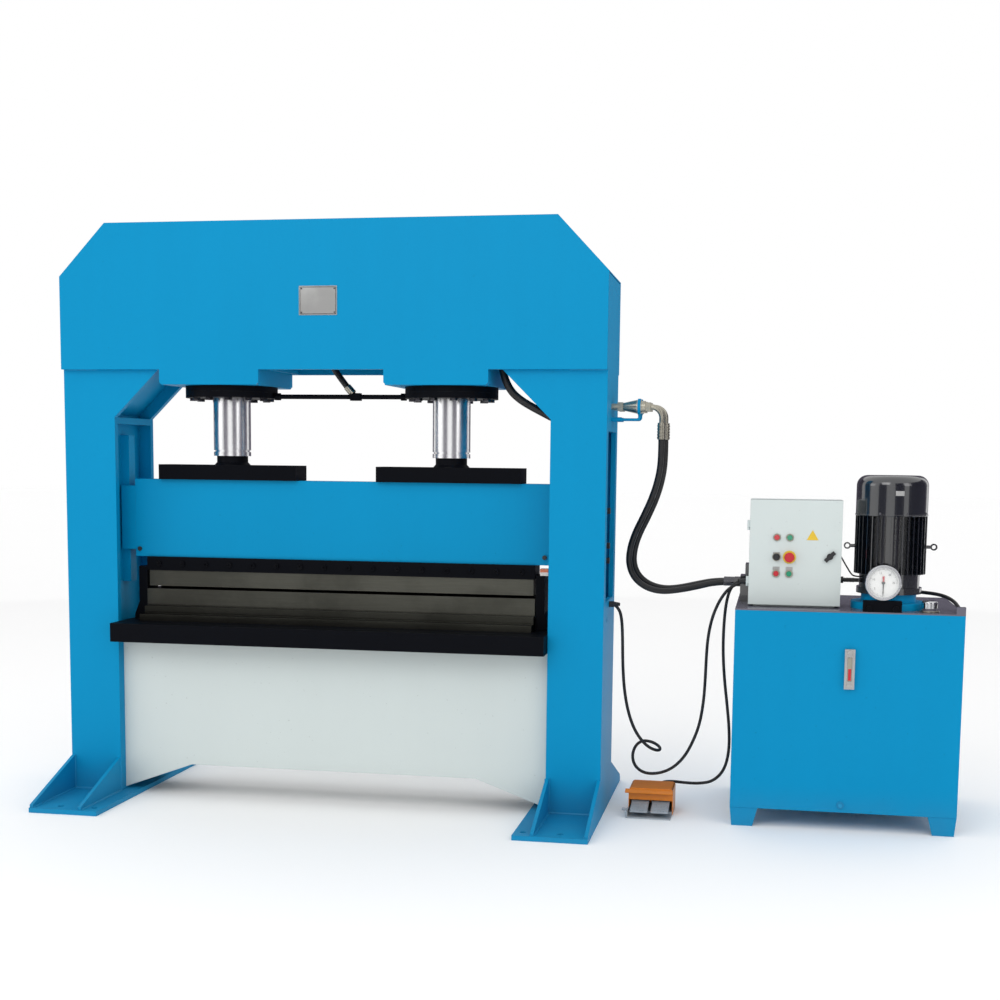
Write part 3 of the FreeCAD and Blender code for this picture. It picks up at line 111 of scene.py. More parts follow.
class StudioSettings(bpy.types.PropertyGroup):
    """Camera and light."""
    stand: bpy.props.FloatVectorProperty(name="Stand", description="Where the camera stands",
                                         default=(1.1512, -6.2483, 1.4937), subtype="TRANSLATION",
                                         unit="LENGTH", size=3)
    heading: bpy.props.FloatProperty(name="Heading", description="Turn to the left from straight ahead",
                                     default=math.radians(10.503), subtype="ANGLE", unit="ROTATION")
    tilt: bpy.props.FloatProperty(name="Tilt", description="Downward tilt of the camera",
                                  default=math.radians(6.395), subtype="ANGLE", unit="ROTATION")
    roll: bpy.props.FloatProperty(name="Roll", description="Turn about the line of sight",
                                  default=math.radians(0.601), subtype="ANGLE", unit="ROTATION")
    lens: bpy.props.FloatProperty(name="Lens", description="Focal length on a 36 mm sensor",
                                  default=53.74, unit="CAMERA", min=1)
    rise: bpy.props.FloatProperty(name="Rise", description="Upward shift of the view", default=0.125)
    room: bpy.props.FloatProperty(name="Room light", description="Strength of the light all round",
                                  default=1.0, min=0)
    key: bpy.props.FloatProperty(name="Key light", description="Power of the large front light",
                                 default=75.0, unit="POWER", min=0)
    floor: colour("Floor", "Colour of the studio floor", (1.0, 1.0, 1.0))
    wall: colour("Wall", "Colour of the far walls that show in reflections", (0.10, 0.09, 0.12))


def colours():
    """Colour settings of the scene."""
    return bpy.context.scene.press_colours


def sizes():
    """Size settings of the scene."""
    return bpy.context.scene.press_sizes


# ---------------------------------------------------------------- shader maths
class Amount:
    """Number socket that takes Python's arithmetic."""

    def __init__(self, recipe, socket):
        self.recipe = recipe
        self.socket = socket

    def maths(self, operation, *others):
        """Value of a Math node on this amount and others."""
        return self.recipe.number("ShaderNodeMath", {"operation": operation}, (self, *others))

    def __add__(self, other):
        return self.maths("ADD", other)

    def __mul__(self, other):
        return self.maths("MULTIPLY", other)

    def __rsub__(self, other):
        return self * -1 + other

    __radd__ = __add__
    __rmul__ = __mul__

    def above(self, limit, softness=0.0):
        """1 over a limit and 0 under it, with a soft step between."""
        if softness == 0:
            return self.maths("GREATER_THAN", limit)
        settings = {"interpolation_type": "SMOOTHSTEP"}
        return self.recipe.number("ShaderNodeMapRange", settings,
                                  {"Value": self, "From Min": limit - softness, "From Max": limit + softness})


class Recipe:
    """A material's node tree with one shader and short ways to add nodes."""

    def __init__(self, name, **constants):
        self.material = bpy.data.materials.new(name)
        self.material.use_nodes = True
        self.tree = self.material.node_tree
        self.tree.nodes.clear()
        self.shader = self.tree.nodes.new("ShaderNodeBsdfPrincipled")
        output = self.tree.nodes.new("ShaderNodeOutputMaterial")
        self.tree.links.new(self.shader.outputs[0], output.inputs["Surface"])
        for socket, value in constants.items():
            self.shader.inputs[socket.replace("_", " ")].default_value = value
        self.spot = self.node("ShaderNodeTexCoord").outputs["Object"]

    def node(self, kind, settings=None, inputs=None):
        """Any node: its type, its settings, and the values or links of its sockets."""
        made = self.tree.nodes.new(kind)
        for name, value in (settings or {}).items():
            setattr(made, name, value)
        pairs = inputs.items() if isinstance(inputs, dict) else enumerate(inputs or ())
        for name, value in pairs:
            self.feed(made.inputs[name], value)
        return made

    def feed(self, socket, value):
        """Give a socket a link or a constant."""
        if isinstance(value, Amount):
            value = value.socket
        if isinstance(value, bpy.types.NodeSocket):
            self.tree.links.new(value, socket)
        else:
            socket.default_value = value

    def number(self, kind, settings=None, inputs=None):
        """First output of a node as an amount."""
        return Amount(self, self.node(kind, settings, inputs).outputs[0])

    def stretched(self, x, y, z):
        """Object coordinates scaled by axis."""
        return self.node("ShaderNodeMapping", {}, {"Vector": self.spot, "Scale": (x, y, z)}).outputs[0]

    def noise(self, scale, detail=3.0, spot=None):
        """Noise from 0 to 1."""
        return self.number("ShaderNodeTexNoise", {}, {"Vector": spot or self.spot, "Scale": scale,
                                                      "Detail": detail, "Roughness": 0.55})

    def axes(self):
        """The three object coordinates as amounts."""
        parts = self.node("ShaderNodeSeparateXYZ", {}, (self.spot,)).outputs
        return [Amount(self, part) for part in parts]

    def mix(self, first, second, factor):
        """Colour between two others."""
        made = self.node("ShaderNodeMix", {"data_type": "RGBA"})
        self.feed(made.inputs["Factor"], factor)
        self.feed(made.inputs["A"], self.full(first))
        self.feed(made.inputs["B"], self.full(second))
        return made.outputs["Result"]

    @staticmethod
    def full(shade):
        """Colour with its alpha, or a socket as it is."""
        return shade if isinstance(shade, bpy.types.NodeSocket) else (*shade, 1.0)

    def soft_edge(self, radius):
        """Normal that rounds sharp edges off."""
        return self.node("ShaderNodeBevel", {"samples": 4}, {"Radius": radius}).outputs[0]

    def wear(self, normal, gain):
        """Mask that is 1 on sharp edges."""
        plain = self.node("ShaderNodeNewGeometry").outputs["Normal"]
        turn = self.node("ShaderNodeVectorMath", {"operation": "DOT_PRODUCT"}, (normal, plain))
        bend = (1 - Amount(self, turn.outputs["Value"])) * gain
        return bend.maths("MINIMUM", 1.0)

    def set(self, **feeds):
        """Feed the shader's sockets."""
        for socket, value in feeds.items():
            if isinstance(value, tuple) and len(value) == 3:
                value = (*value, 1.0)
            self.feed(self.shader.inputs[socket.replace("_", " ")], value)

    def bump(self, height, distance, normal=None):
        """Surface relief in metres."""
        inputs = {"Height": height, "Distance": distance, "Strength": 1.0}
        if normal is not None:
            inputs["Normal"] = normal
        self.set(Normal=self.node("ShaderNodeBump", {}, inputs).outputs[0])


def shade_of(base, factor):
    """Colour made darker or lighter by a factor."""
    return tuple(min(1.0, channel * factor) for channel in base)


def enamel(name, base, gloss, chip, chip_gain, spread=0.10, shine=0.3, coat=0.0):
    """Sprayed enamel: cloudy shade, orange peel, dust low down and worn edges."""
    r = Recipe(name, Coat_Weight=coat, Coat_Roughness=0.06, Coat_IOR=1.7, Specular_IOR_Level=shine)
    cloud = r.noise(1.3, 4)
    runs = r.noise(1.0, 3, r.stretched(9, 9, 0.7))
    peel = r.noise(260, 2)
    speck = r.noise(75, 2).above(0.735, 0.015)
    edge = r.soft_edge(sizes().edge)
    worn = r.wear(edge, chip_gain) * r.noise(38, 4).above(0.52, 0.10)
    shade = r.mix(shade_of(base, 1 - spread), shade_of(base, 1 + spread), cloud * 0.6 + runs * 0.4)
    shade = r.mix(shade, shade_of(base, 0.55), speck * 0.35)
    height = r.axes()[2]
    dust = (1 - height.above(0.10, 0.10)) * r.noise(6, 5) * 0.25
    shade = r.mix(shade, (0.10, 0.10, 0.10), dust)
    r.set(Base_Color=r.mix(shade, chip, worn), Roughness=cloud * 0.12 + gloss + dust * 0.4)
    r.bump(peel * 0.7 + runs * 0.3, 0.00025, edge)
    return r.material


def ground_steel(name, base, roughness, stretch, streak=0.35):
    """Ground or milled steel with fine lines along one axis and oily patches."""
    r = Recipe(name, Metallic=1.0)
    lines = r.noise(60, 3, r.stretched(*stretch))
    broad = r.noise(14, 4, r.stretched(*stretch))
    patch = r.noise(2.6, 5)
    edge = r.soft_edge(0.0012)
    shade = r.mix(shade_of(base, 1 - streak), shade_of(base, 1 + streak), lines * 0.5 + broad * 0.5)
    shade = r.mix(shade, shade_of(base, 0.45), patch.above(0.56, 0.10) * 0.5)
    shade = r.mix(shade, shade_of(base, 2.0), r.wear(edge, 3.0) * 0.7)
    r.set(Base_Color=shade, Roughness=lines * 0.12 + patch * 0.12 + roughness)
    r.bump(lines, 0.00012, edge)
    return r.material


def plated_steel(name, base, roughness, yellow=0.0):
    """Zinc or chrome plating with faint clouds."""
    r = Recipe(name, Metallic=1.0)
    cloud = r.noise(45, 4)
    edge = r.soft_edge(0.0006)
    tint = (base[0], base[1] * (1 - yellow * 0.15), base[2] * (1 - yellow * 0.5))
    r.set(Base_Color=r.mix(shade_of(tint, 0.82), shade_of(tint, 1.08), cloud),
          Roughness=cloud * 0.10 + roughness)
    r.bump(r.noise(700, 2), 0.00004, edge)
    return r.material


def turned_chrome(name, base):
    """Plated ram: mirror finish with faint turning rings and a patchy oil film."""
    r = Recipe(name, Metallic=1.0)
    rings = r.noise(420, 2, r.stretched(0.02, 0.02, 1))
    film = r.noise(7, 4, r.stretched(3, 3, 0.6))
    r.set(Base_Color=r.mix(shade_of(base, 0.84), base, film), Roughness=rings * 0.05 + film * 0.10 + 0.16)
    r.bump(rings, 0.00003)
    return r.material


def moulded(name, base, roughness, grain=900.0, depth=0.00005):
    """Moulded plastic with a fine grain."""
    r = Recipe(name, Specular_IOR_Level=0.5)
    cloud = r.noise(30, 3)
    r.set(Base_Color=r.mix(shade_of(base, 0.86), shade_of(base, 1.10), cloud),
          Roughness=cloud * 0.08 + roughness)
    r.bump(r.noise(grain, 2), depth, r.soft_edge(0.0007))
    return r.material


def rubber_sheath(name, base, roughness, weave):
    """Hose or cable cover with a fine wrapped texture and dusty patches."""
    r = Recipe(name, Specular_IOR_Level=0.45)
    dust = r.noise(16, 4)
    wrap = r.noise(weave, 2)
    r.set(Base_Color=r.mix(base, shade_of(base, 3.2), dust.above(0.56, 0.14) * 0.55),
          Roughness=dust * 0.18 + roughness)
    r.bump(wrap, 0.0003)
    return r.material


def two_tone(name, axis, split, low, high):
    """Plastic of one colour below a line along an axis and another above it."""
    r = Recipe(name, Coat_Weight=0.5, Coat_Roughness=0.05, Roughness=0.2)
    shade = r.mix(low, high, r.axes()[axis].above(split))
    r.set(Base_Color=r.mix(shade, (1, 1, 1), r.noise(240, 2) * 0.04))
    r.bump(r.noise(700, 2), 0.00003)
    return r.material


def clear_glass(name):
    """Thin clear window with a faint film of dust."""
    r = Recipe(name, Roughness=0.03, Specular_IOR_Level=0.6)
    r.set(Base_Color=(0.9, 0.92, 0.93), Alpha=r.noise(60, 3) * 0.06 + 0.05)
    return r.material


STORE = {}


def finish(name):
    """Material by its plain name, made the first time it is asked for."""
    if name not in STORE:
        STORE[name] = FINISHES[name]()
    return STORE[name]


FINISHES = {
    "blue": lambda: enamel("blue_enamel", colours().blue, 0.38, (0.02, 0.14, 0.30), 1.4, 0.07, 0.09),
    "white": lambda: enamel("offwhite_enamel", colours().white, 0.36, (0.36, 0.40, 0.40), 1.2, 0.04),
    "black": lambda: enamel("black_enamel", colours().black, 0.40, (0.05, 0.05, 0.05), 1.8, 0.25, 0.04),
    "motor": lambda: enamel("motor_enamel", colours().motor, 0.16, (0.03, 0.04, 0.05), 1.0, 0.2, 0.6, 1.0),
    "steel": lambda: ground_steel("ground_steel", colours().steel, 0.30, (0.35, 20, 20)),
    "die_base": lambda: ground_steel("base_steel", shade_of(colours().steel, 0.45), 0.22, (0.35, 20, 20)),
    "die": lambda: ground_steel("die_steel", shade_of(colours().steel, 0.85), 0.26, (0.35, 20, 20)),
    "plated": lambda: plated_steel("zinc_plate", colours().plated, 0.26, 0.35),
    "chrome": lambda: plated_steel("bright_chrome", colours().chrome, 0.10),
    "ram": lambda: turned_chrome("ram_chrome", (0.93, 0.93, 0.94)),
    "rubber": lambda: rubber_sheath("hose_rubber", colours().rubber, 0.34, 420),
    "cable": lambda: rubber_sheath("cable_sheath", colours().rubber, 0.42, 900),
    "black_plastic": lambda: moulded("black_plastic", (0.018, 0.018, 0.020), 0.38),
    "grey_plastic": lambda: moulded("grey_plastic", colours().grey, 0.42, 500, 0.00015),
    "orange": lambda: moulded("orange_plastic", colours().orange, 0.32, 350, 0.00012),
    "red": lambda: moulded("red_plastic", colours().red, 0.22),
    "green": lambda: moulded("green_plastic", colours().green, 0.22),
    "yellow": lambda: moulded("yellow_plastic", colours().yellow, 0.35),
    "plate": lambda: ground_steel("bare_plate", (0.52, 0.52, 0.51), 0.45, (2, 20, 20), 0.06),
    "dial": lambda: moulded("dial_white", (0.86, 0.86, 0.84), 0.4),
    "print": lambda: moulded("dial_print", (0.01, 0.01, 0.01), 0.5),
    "glass": lambda: clear_glass("gauge_glass"),
    # painted reflection: the lid's dark purple-grey stands in for the grey reflection on the glossy blue top
    # seen edge-on; its chips show the blue
    "lid": lambda: enamel("lid_enamel", (0.12, 0.115, 0.15), 0.2, (0.02, 0.14, 0.30), 0.8, 0.1, 0.6),
    "ring": lambda: plated_steel("bezel_ring", (0.10, 0.10, 0.11), 0.22),
    "bead": lambda: enamel("bead_enamel", colours().blue, 0.40, (0.02, 0.14, 0.30), 0.5, 0.12),
    "lamps": lambda: two_tone("lamp_lens", 0, 1.174, colours().red, colours().green),
    "pointer": lambda: two_tone("pointer_paint", 2, 1.019, (0.01, 0.01, 0.01), colours().red),
    # the light lower half is a painted highlight; the orange-red upper half is the sensor's own colour
    "sensor": lambda: two_tone("sensor_case", 2, 1.016, (0.70, 0.66, 0.62), (0.60, 0.13, 0.04)),
}

NODE_FINISHES = {
    "blue": ("left_column", "right_column", "crosshead", "slide_beam", "slide_shoes", "guide_rails",
             "hose_clamps", "tank", "bell_housing"),
    "white": ("lower_bed", "control_box", "box_door"),
    "black": ("table", "end_posts", "pressing_pads", "punch_holder", "manifold", "cylinders",
              "gland_rings", "holder_screws", "cross_pipe"),
    "motor": ("motor_housing", "fan_cover", "pump", "valve_block"),
    "steel": ("punch", "rotor"),
    "die": ("lower_die",),
    "die_base": ("die_base",),
    "plated": ("hose_fittings",),
    "ring": ("gland_bolts",),
    # the tank lid takes the painted-reflection colour
    "lid": ("tank_lid",),
    "chrome": ("gauge_case", "filler_cap"),
    "ram": ("left_ram", "right_ram"),
    "rubber": ("rod_seals",),
    "black_plastic": ("guide_bolts", "selector", "latch", "motor_conduit", "cable_glands"),
    "grey_plastic": ("contactor_panel", "pedal_base", "left_pedal", "right_pedal"),
    "orange": ("pedal_guard",),
    "red": ("estop", "red_button"),
    "pointer": ("gauge_pointer",),
    "green": ("green_button",),
    "lamps": ("pilot_lamps",),
    "plate": ("data_plate", "level_gauge"),
}


# ---------------------------------------------------------------- modelling helpers
def publish(name, bm, body, look, smooth=True):
    """Turn a bmesh into a piece that rides on a body."""
    bmesh.ops.remove_doubles(bm, verts=bm.verts, dist=1e-6)
    bmesh.ops.recalc_face_normals(bm, faces=bm.faces)
    mesh = bpy.data.meshes.new(name)
    bm.to_mesh(mesh)
    bm.free()
    made = bpy.data.objects.new(name, mesh)
    bpy.context.scene.collection.objects.link(made)
    mesh.materials.append(finish(look))
    if smooth:
        mesh.shade_smooth()
        made.modifiers.new("flats", "WEIGHTED_NORMAL").keep_sharp = True
        mesh.set_sharp_from_angle(angle=math.radians(40))
    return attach(made, body)


def axis_turn(axis):
    """Matrix that turns +Z to an axis."""
    return Vector(axis).to_track_quat("Z", "Y").to_matrix().to_4x4()


def add_block(bm, low, high, bevel=0.0):
    """Block between two corners, with its edges rounded."""
    low, high = Vector(low), Vector(high)
    place = Matrix.Translation((low + high) / 2) @ Matrix.Diagonal((*(high - low), 1))
    made = bmesh.ops.create_cube(bm, size=1, matrix=place)["verts"]
    if bevel:
        edges = list({edge for vert in made for edge in vert.link_edges})
        bmesh.ops.bevel(bm, geom=edges, offset=bevel, offset_type="OFFSET", affect="EDGES", segments=2,
                        profile=0.5, material=-1)
    return made


def add_turned(bm, place, axis, profile, segments=48):
    """Turned shape: a profile of radius and height spun about an axis."""
    turn = Matrix.Translation(place) @ axis_turn(axis)
    verts = [bm.verts.new(turn @ Vector((radius, 0, height))) for radius, height in profile]
    edges = [bm.edges.new(pair) for pair in zip(verts, verts[1:])]
    bmesh.ops.spin(bm, geom=verts + edges, cent=place, axis=turn.to_3x3() @ Z, angle=math.tau,
                   steps=segments, use_merge=True)
    bmesh.ops.remove_doubles(bm, verts=bm.verts, dist=1e-6)


def add_hexagon(bm, place, axis, flats, height):
    """Hexagon head or nut that grows along an axis."""
    turn = Matrix.Translation(Vector(place) + Vector(axis) * height / 2) @ axis_turn(axis)
    made = bmesh.ops.create_cone(bm, cap_ends=True, segments=6, radius1=flats / math.sqrt(3),
                                 radius2=flats / math.sqrt(3), depth=height, matrix=turn)["verts"]
    edges = list({edge for vert in made for edge in vert.link_edges})
    bmesh.ops.bevel(bm, geom=edges, offset=0.0008, offset_type="OFFSET", affect="EDGES", segments=1,
                    profile=0.5, material=-1)


def ring_profile(inner, outer, low, high, lip=0.001):
    """Closed section of a ring with its corners eased."""
    return [(inner, low), (outer - lip, low), (outer, low + lip), (outer, high - lip),
            (outer - lip, high), (inner, high), (inner, low)]


def dome_profile(radius, height, back):
    """Section of a domed cap that ends on the axis."""
    arc = [(radius * math.cos(math.radians(a)), height * math.sin(math.radians(a))) for a in range(0, 90, 15)]
    return [(0, -back), (radius, -back)] + arc + [(0, height)]


def add_bead(bm, start, end, radius):
    """Weld bead between two points, with the ripples that a welder leaves."""
    start, end = Vector(start), Vector(end)
    span = (end - start).length
    count = max(4, int(span / 0.009))
    profile = [(0, 0)]
    for i in range(count):
        low = span * i / count
        profile += [(radius * 0.86, low + 0.0005), (radius, low + span / count * 0.5)]
    add_turned(bm, start, end - start, profile + [(radius * 0.86, span - 0.0005), (0, span)], 8)


def add_rivet(bm, place, axis, radius, height):
    """Low domed head."""
    add_turned(bm, Vector(place), axis, dome_profile(radius, height, 0.0008), 20)


def spline_piece(name, points, diameter, body, look):
    """Round bar on a NURBS line through a route's control points."""
    curve = bpy.data.curves.new(name, "CURVE")
    curve.dimensions = "3D"
    curve.bevel_depth = diameter / 2
    curve.bevel_resolution = 6
    curve.use_fill_caps = True
    line = curve.splines.new("NURBS")
    line.points.add(len(points) - 1)
    for spot, point in zip(line.points, points):
        spot.co = (*point, 1)
    line.order_u = 3
    line.use_endpoint_u = True
    line.resolution_u = 10
    line.use_smooth = True
    made = bpy.data.objects.new(name, curve)
    bpy.context.scene.collection.objects.link(made)
    curve.materials.append(finish(look))
    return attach(made, body)


# ---------------------------------------------------------------- cord routes, in metres
RAM_HOSE_ROUTE = [(PRESS_X + x, -0.100, z) for x, z in (
    (0.722, 2.000), (0.722, 1.930), (0.724, 1.862), (0.740, 1.808), (0.765, 1.764), (0.802, 1.732),
    (0.843, 1.708), (0.895, 1.681), (0.943, 1.657), (0.985, 1.640))]
PRESSURE_ROUTE = [
    (0.668, -0.040, 1.575), (0.668, -0.028, 1.505), (0.660, -0.010, 1.432), (0.635, 0.012, 1.345),
    (0.594, 0.036, 1.255), (0.558, 0.057, 1.185), (0.536, 0.074, 1.118), (0.530, 0.088, 1.052),
    (0.551, 0.102, 0.992), (0.600, 0.116, 0.950), (0.664, 0.131, 0.932), (0.735, 0.145, 0.938),
    (0.815, 0.161, 0.954), (0.895, 0.174, 0.975), (0.975, 0.175, 0.978)]
RETURN_ROUTE = [
    (0.678, 0.040, 1.575), (0.678, 0.052, 1.505), (0.671, 0.066, 1.430), (0.648, 0.083, 1.342),
    (0.608, 0.102, 1.250), (0.572, 0.119, 1.180), (0.550, 0.134, 1.114), (0.545, 0.148, 1.050),
    (0.567, 0.162, 0.994), (0.616, 0.176, 0.956), (0.678, 0.191, 0.940), (0.745, 0.205, 0.946),
    (0.820, 0.220, 0.963), (0.897, 0.235, 0.978), (0.975, 0.235, 0.978)]
SUPPLY_ROUTE = [
    (0.480, 0.000, 0.885), (0.503, 0.003, 0.868), (0.515, 0.008, 0.818), (0.519, 0.012, 0.735),
    (0.521, 0.016, 0.630), (0.529, 0.019, 0.520), (0.547, 0.021, 0.425), (0.573, 0.022, 0.354),
    (0.603, 0.022, 0.308), (0.634, 0.026, 0.277), (0.663, 0.039, 0.261), (0.682, 0.063, 0.256),
    (0.682, 0.093, 0.262), (0.663, 0.117, 0.273), (0.632, 0.124, 0.283), (0.600, 0.123, 0.284),
    (0.573, 0.119, 0.262), (0.560, 0.113, 0.224), (0.568, 0.105, 0.183), (0.596, 0.100, 0.155),
    (0.636, 0.098, 0.144), (0.688, 0.098, 0.151), (0.738, 0.100, 0.175), (0.782, 0.103, 0.220),
    (0.816, 0.106, 0.282), (0.846, 0.106, 0.365), (0.861, 0.104, 0.465), (0.866, 0.100, 0.565),
    (0.868, 0.094, 0.660), (0.873, 0.088, 0.750), (0.890, 0.078, 0.838), (0.922, 0.068, 0.915),
    (0.966, 0.060, 0.972), (1.018, 0.060, 0.990)]
PEDAL_ROUTE = [
    (1.018, 0.100, 0.990), (0.984, 0.102, 0.984), (0.958, 0.108, 0.950), (0.944, 0.116, 0.890),
    (0.937, 0.124, 0.800), (0.936, 0.130, 0.690), (0.944, 0.132, 0.575), (0.959, 0.130, 0.460),
    (0.972, 0.126, 0.350), (0.974, 0.120, 0.250), (0.955, 0.116, 0.170), (0.908, 0.116, 0.120),
    (0.845, 0.126, 0.106), (0.785, 0.150, 0.102), (0.735, 0.185, 0.098), (0.692, 0.205, 0.090),
    (0.660, 0.190, 0.076), (0.650, 0.160, 0.064), (0.656, 0.135, 0.060)]
MOTOR_ROUTE = [
    (1.640, 0.215, 1.040), (1.641, 0.215, 1.000), (1.662, 0.211, 0.966), (1.708, 0.202, 0.955),
    (1.760, 0.180, 0.953), (1.808, 0.138, 0.951), (1.843, 0.080, 0.944), (1.864, 0.012, 0.931),
    (1.872, -0.050, 0.917), (1.872, -0.105, 0.911)]


def lay_cord(node, route, diameter, look, reliefs=()):
    """Free cord that replaces its plain solid."""
    cord = spline_piece(node + "_line", route, diameter, ROOT, look)
    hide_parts(node)
    with_pieces = [strain_relief(f"{node}_relief_{i}", place, axis, diameter)
                   for i, (place, axis) in enumerate(reliefs)]


def strain_relief(name, place, axis, diameter):
    """Tapered ribbed sleeve that carries a cable out of its gland."""
    radius = diameter / 2
    profile = [(radius + 0.0003, 0), (radius + 0.0046, 0)]
    for i in range(5):
        outer = radius + 0.0046 - 0.0008 * i
        low = 0.0015 + 0.0045 * i
        profile += [(outer, low), (outer, low + 0.0024)]
        profile += [(outer - 0.0011, low + 0.0031), (outer - 0.0011, low + 0.0042)]
    profile += [(radius + 0.0003, 0.026), (radius + 0.0003, 0)]
    bm = bmesh.new()
    add_turned(bm, Vector(place), axis, profile, 24)
    return publish(name, bm, ROOT, "black_plastic")


# ---------------------------------------------------------------- operators
class StudioOperator(bpy.types.Operator):
    """Set up the camera, the lights, the pale floor and the walls that reflections see."""
    bl_idname = "press.studio"
    bl_label = "Studio"

    def execute(self, context):
        studio = context.scene.press_studio
        self.camera(context, studio)
        self.light(context, studio)
        self.floor(context, studio)
        self.walls(context, studio)
        return {"FINISHED"}

    def camera(self, context, studio):
        """Camera at the operator's side, a little to the right of the press."""
        lens = bpy.data.cameras.new("camera")
        lens.lens = studio.lens
        lens.shift_y = studio.rise
        lens.clip_end = 200
        camera = bpy.data.objects.new("camera", lens)
        context.scene.collection.objects.link(camera)
        turn = (Matrix.Rotation(studio.heading, 4, "Z") @ Matrix.Rotation(math.pi / 2 - studio.tilt, 4, "X")
                @ Matrix.Rotation(studio.roll, 4, "Z"))
        camera.matrix_world = Matrix.Translation(studio.stand) @ turn
        context.scene.camera = camera

    def light(self, context, studio):
        """Even white room with one large light in front and a weaker one on each side."""
        context.scene.view_settings.view_transform = "Standard"
        world = bpy.data.worlds.new("room")
        world.use_nodes = True
        world.node_tree.nodes["Background"].inputs["Color"].default_value = (1, 1, 1, 1)
        world.node_tree.nodes["Background"].inputs["Strength"].default_value = studio.room
        context.scene.world = world
        for name, place, size, share in (("key", (-1.6, -6.0, 4.6), 3.2, 1.0),
                                         ("left", (-6.0, -2.5, 3.0), 2.6, 0.30),
                                         ("right", (5.5, -4.0, 3.2), 2.6, 0.35)):
            lamp = bpy.data.lights.new(name, "AREA")
            lamp.size = size
            lamp.energy = studio.key * share
            holder = bpy.data.objects.new(name, lamp)
            context.scene.collection.objects.link(holder)
            aim = LIGHT_TARGET - Vector(place)
            turn = aim.to_track_quat("-Z", "Y").to_matrix().to_4x4()
            holder.matrix_world = Matrix.Translation(place) @ turn

    def floor(self, context, studio):
        """Plain pale floor."""
        r = Recipe("studio_floor")
        shade = r.mix(shade_of(studio.floor, 0.99), tuple(studio.floor), r.noise(0.8))
        r.set(Base_Color=shade, Roughness=0.8)
        bm = bmesh.new()
        bmesh.ops.create_circle(bm, cap_ends=True, segments=96, radius=FLOOR_RADIUS)
        self.place(context, "studio_floor", bm, r)

    def walls(self, context, studio):
        """Dark far walls that only reflections see; the gaps between them read as tall windows."""
        r = Recipe("studio_wall", Roughness=1.0, Specular_IOR_Level=0.0, Emission_Strength=1.0)
        r.set(Base_Color=(0.0, 0.0, 0.0), Emission_Color=tuple(studio.wall))
        bm = bmesh.new()
        for first, last in ((-42, -14), (14, 42), (56, 128), (146, 238), (256, 283)):
            turns = [math.radians(first + (last - first) * i / 8) for i in range(9)]
            row = [bm.verts.new((WALL_RADIUS * math.sin(turn), -WALL_RADIUS * math.cos(turn), 0))
                   for turn in turns]
            edges = [bm.edges.new(pair) for pair in zip(row, row[1:])]
            swept = bmesh.ops.extrude_edge_only(bm, edges=edges)["geom"]
            top = [part for part in swept if isinstance(part, bmesh.types.BMVert)]
            bmesh.ops.translate(bm, vec=(0, 0, WALL_HEIGHT), verts=top)
        wall = self.place(context, "studio_wall", bm, r)
        wall.visible_camera = wall.visible_diffuse = False
        wall.visible_transmission = wall.visible_shadow = False

    def place(self, context, name, bm, recipe):
        """Put a stage piece in the scene."""
        mesh = bpy.data.meshes.new(name)
        bm.to_mesh(mesh)
        bm.free()
        mesh.materials.append(recipe.material)
        made = bpy.data.objects.new(name, mesh)
        context.scene.collection.objects.link(made)
        return made


class CordsOperator(bpy.types.Operator):
    """Lay the hoses and cables with their strain reliefs."""
    bl_idname = "press.cords"
    bl_label = "Hoses and cables"

    def execute(self, context):
        s = sizes()
        lay_cord("ram_hose", RAM_HOSE_ROUTE, s.ram_hose, "rubber")
        lay_cord("pressure_hose", PRESSURE_ROUTE, s.hose, "rubber")
        lay_cord("return_hose", RETURN_ROUTE, s.hose, "rubber")
        lay_cord("supply_cable", SUPPLY_ROUTE, s.cable, "cable",
                 [(SUPPLY_ROUTE[0], X), (SUPPLY_ROUTE[-1], -X)])
        lay_cord("pedal_cable", PEDAL_ROUTE, s.cable, "cable",
                 [(PEDAL_ROUTE[0], -X), (PEDAL_ROUTE[-1], Y)])
        lay_cord("motor_cable", MOTOR_ROUTE, s.motor_cable, "cable",
                 [(MOTOR_ROUTE[0], -Z), (MOTOR_ROUTE[-1], Y)])
        return {"FINISHED"}


class FinishesOperator(bpy.types.Operator):
    """Give every node of the frame its finish."""
    bl_idname = "press.finishes"
    bl_label = "Finishes"

    def execute(self, context):
        for look, names in NODE_FINISHES.items():
            for name in names:
                mesh = nodes[name].data
                mesh.materials.clear()
                mesh.materials.append(finish(look))
        return {"FINISHED"}


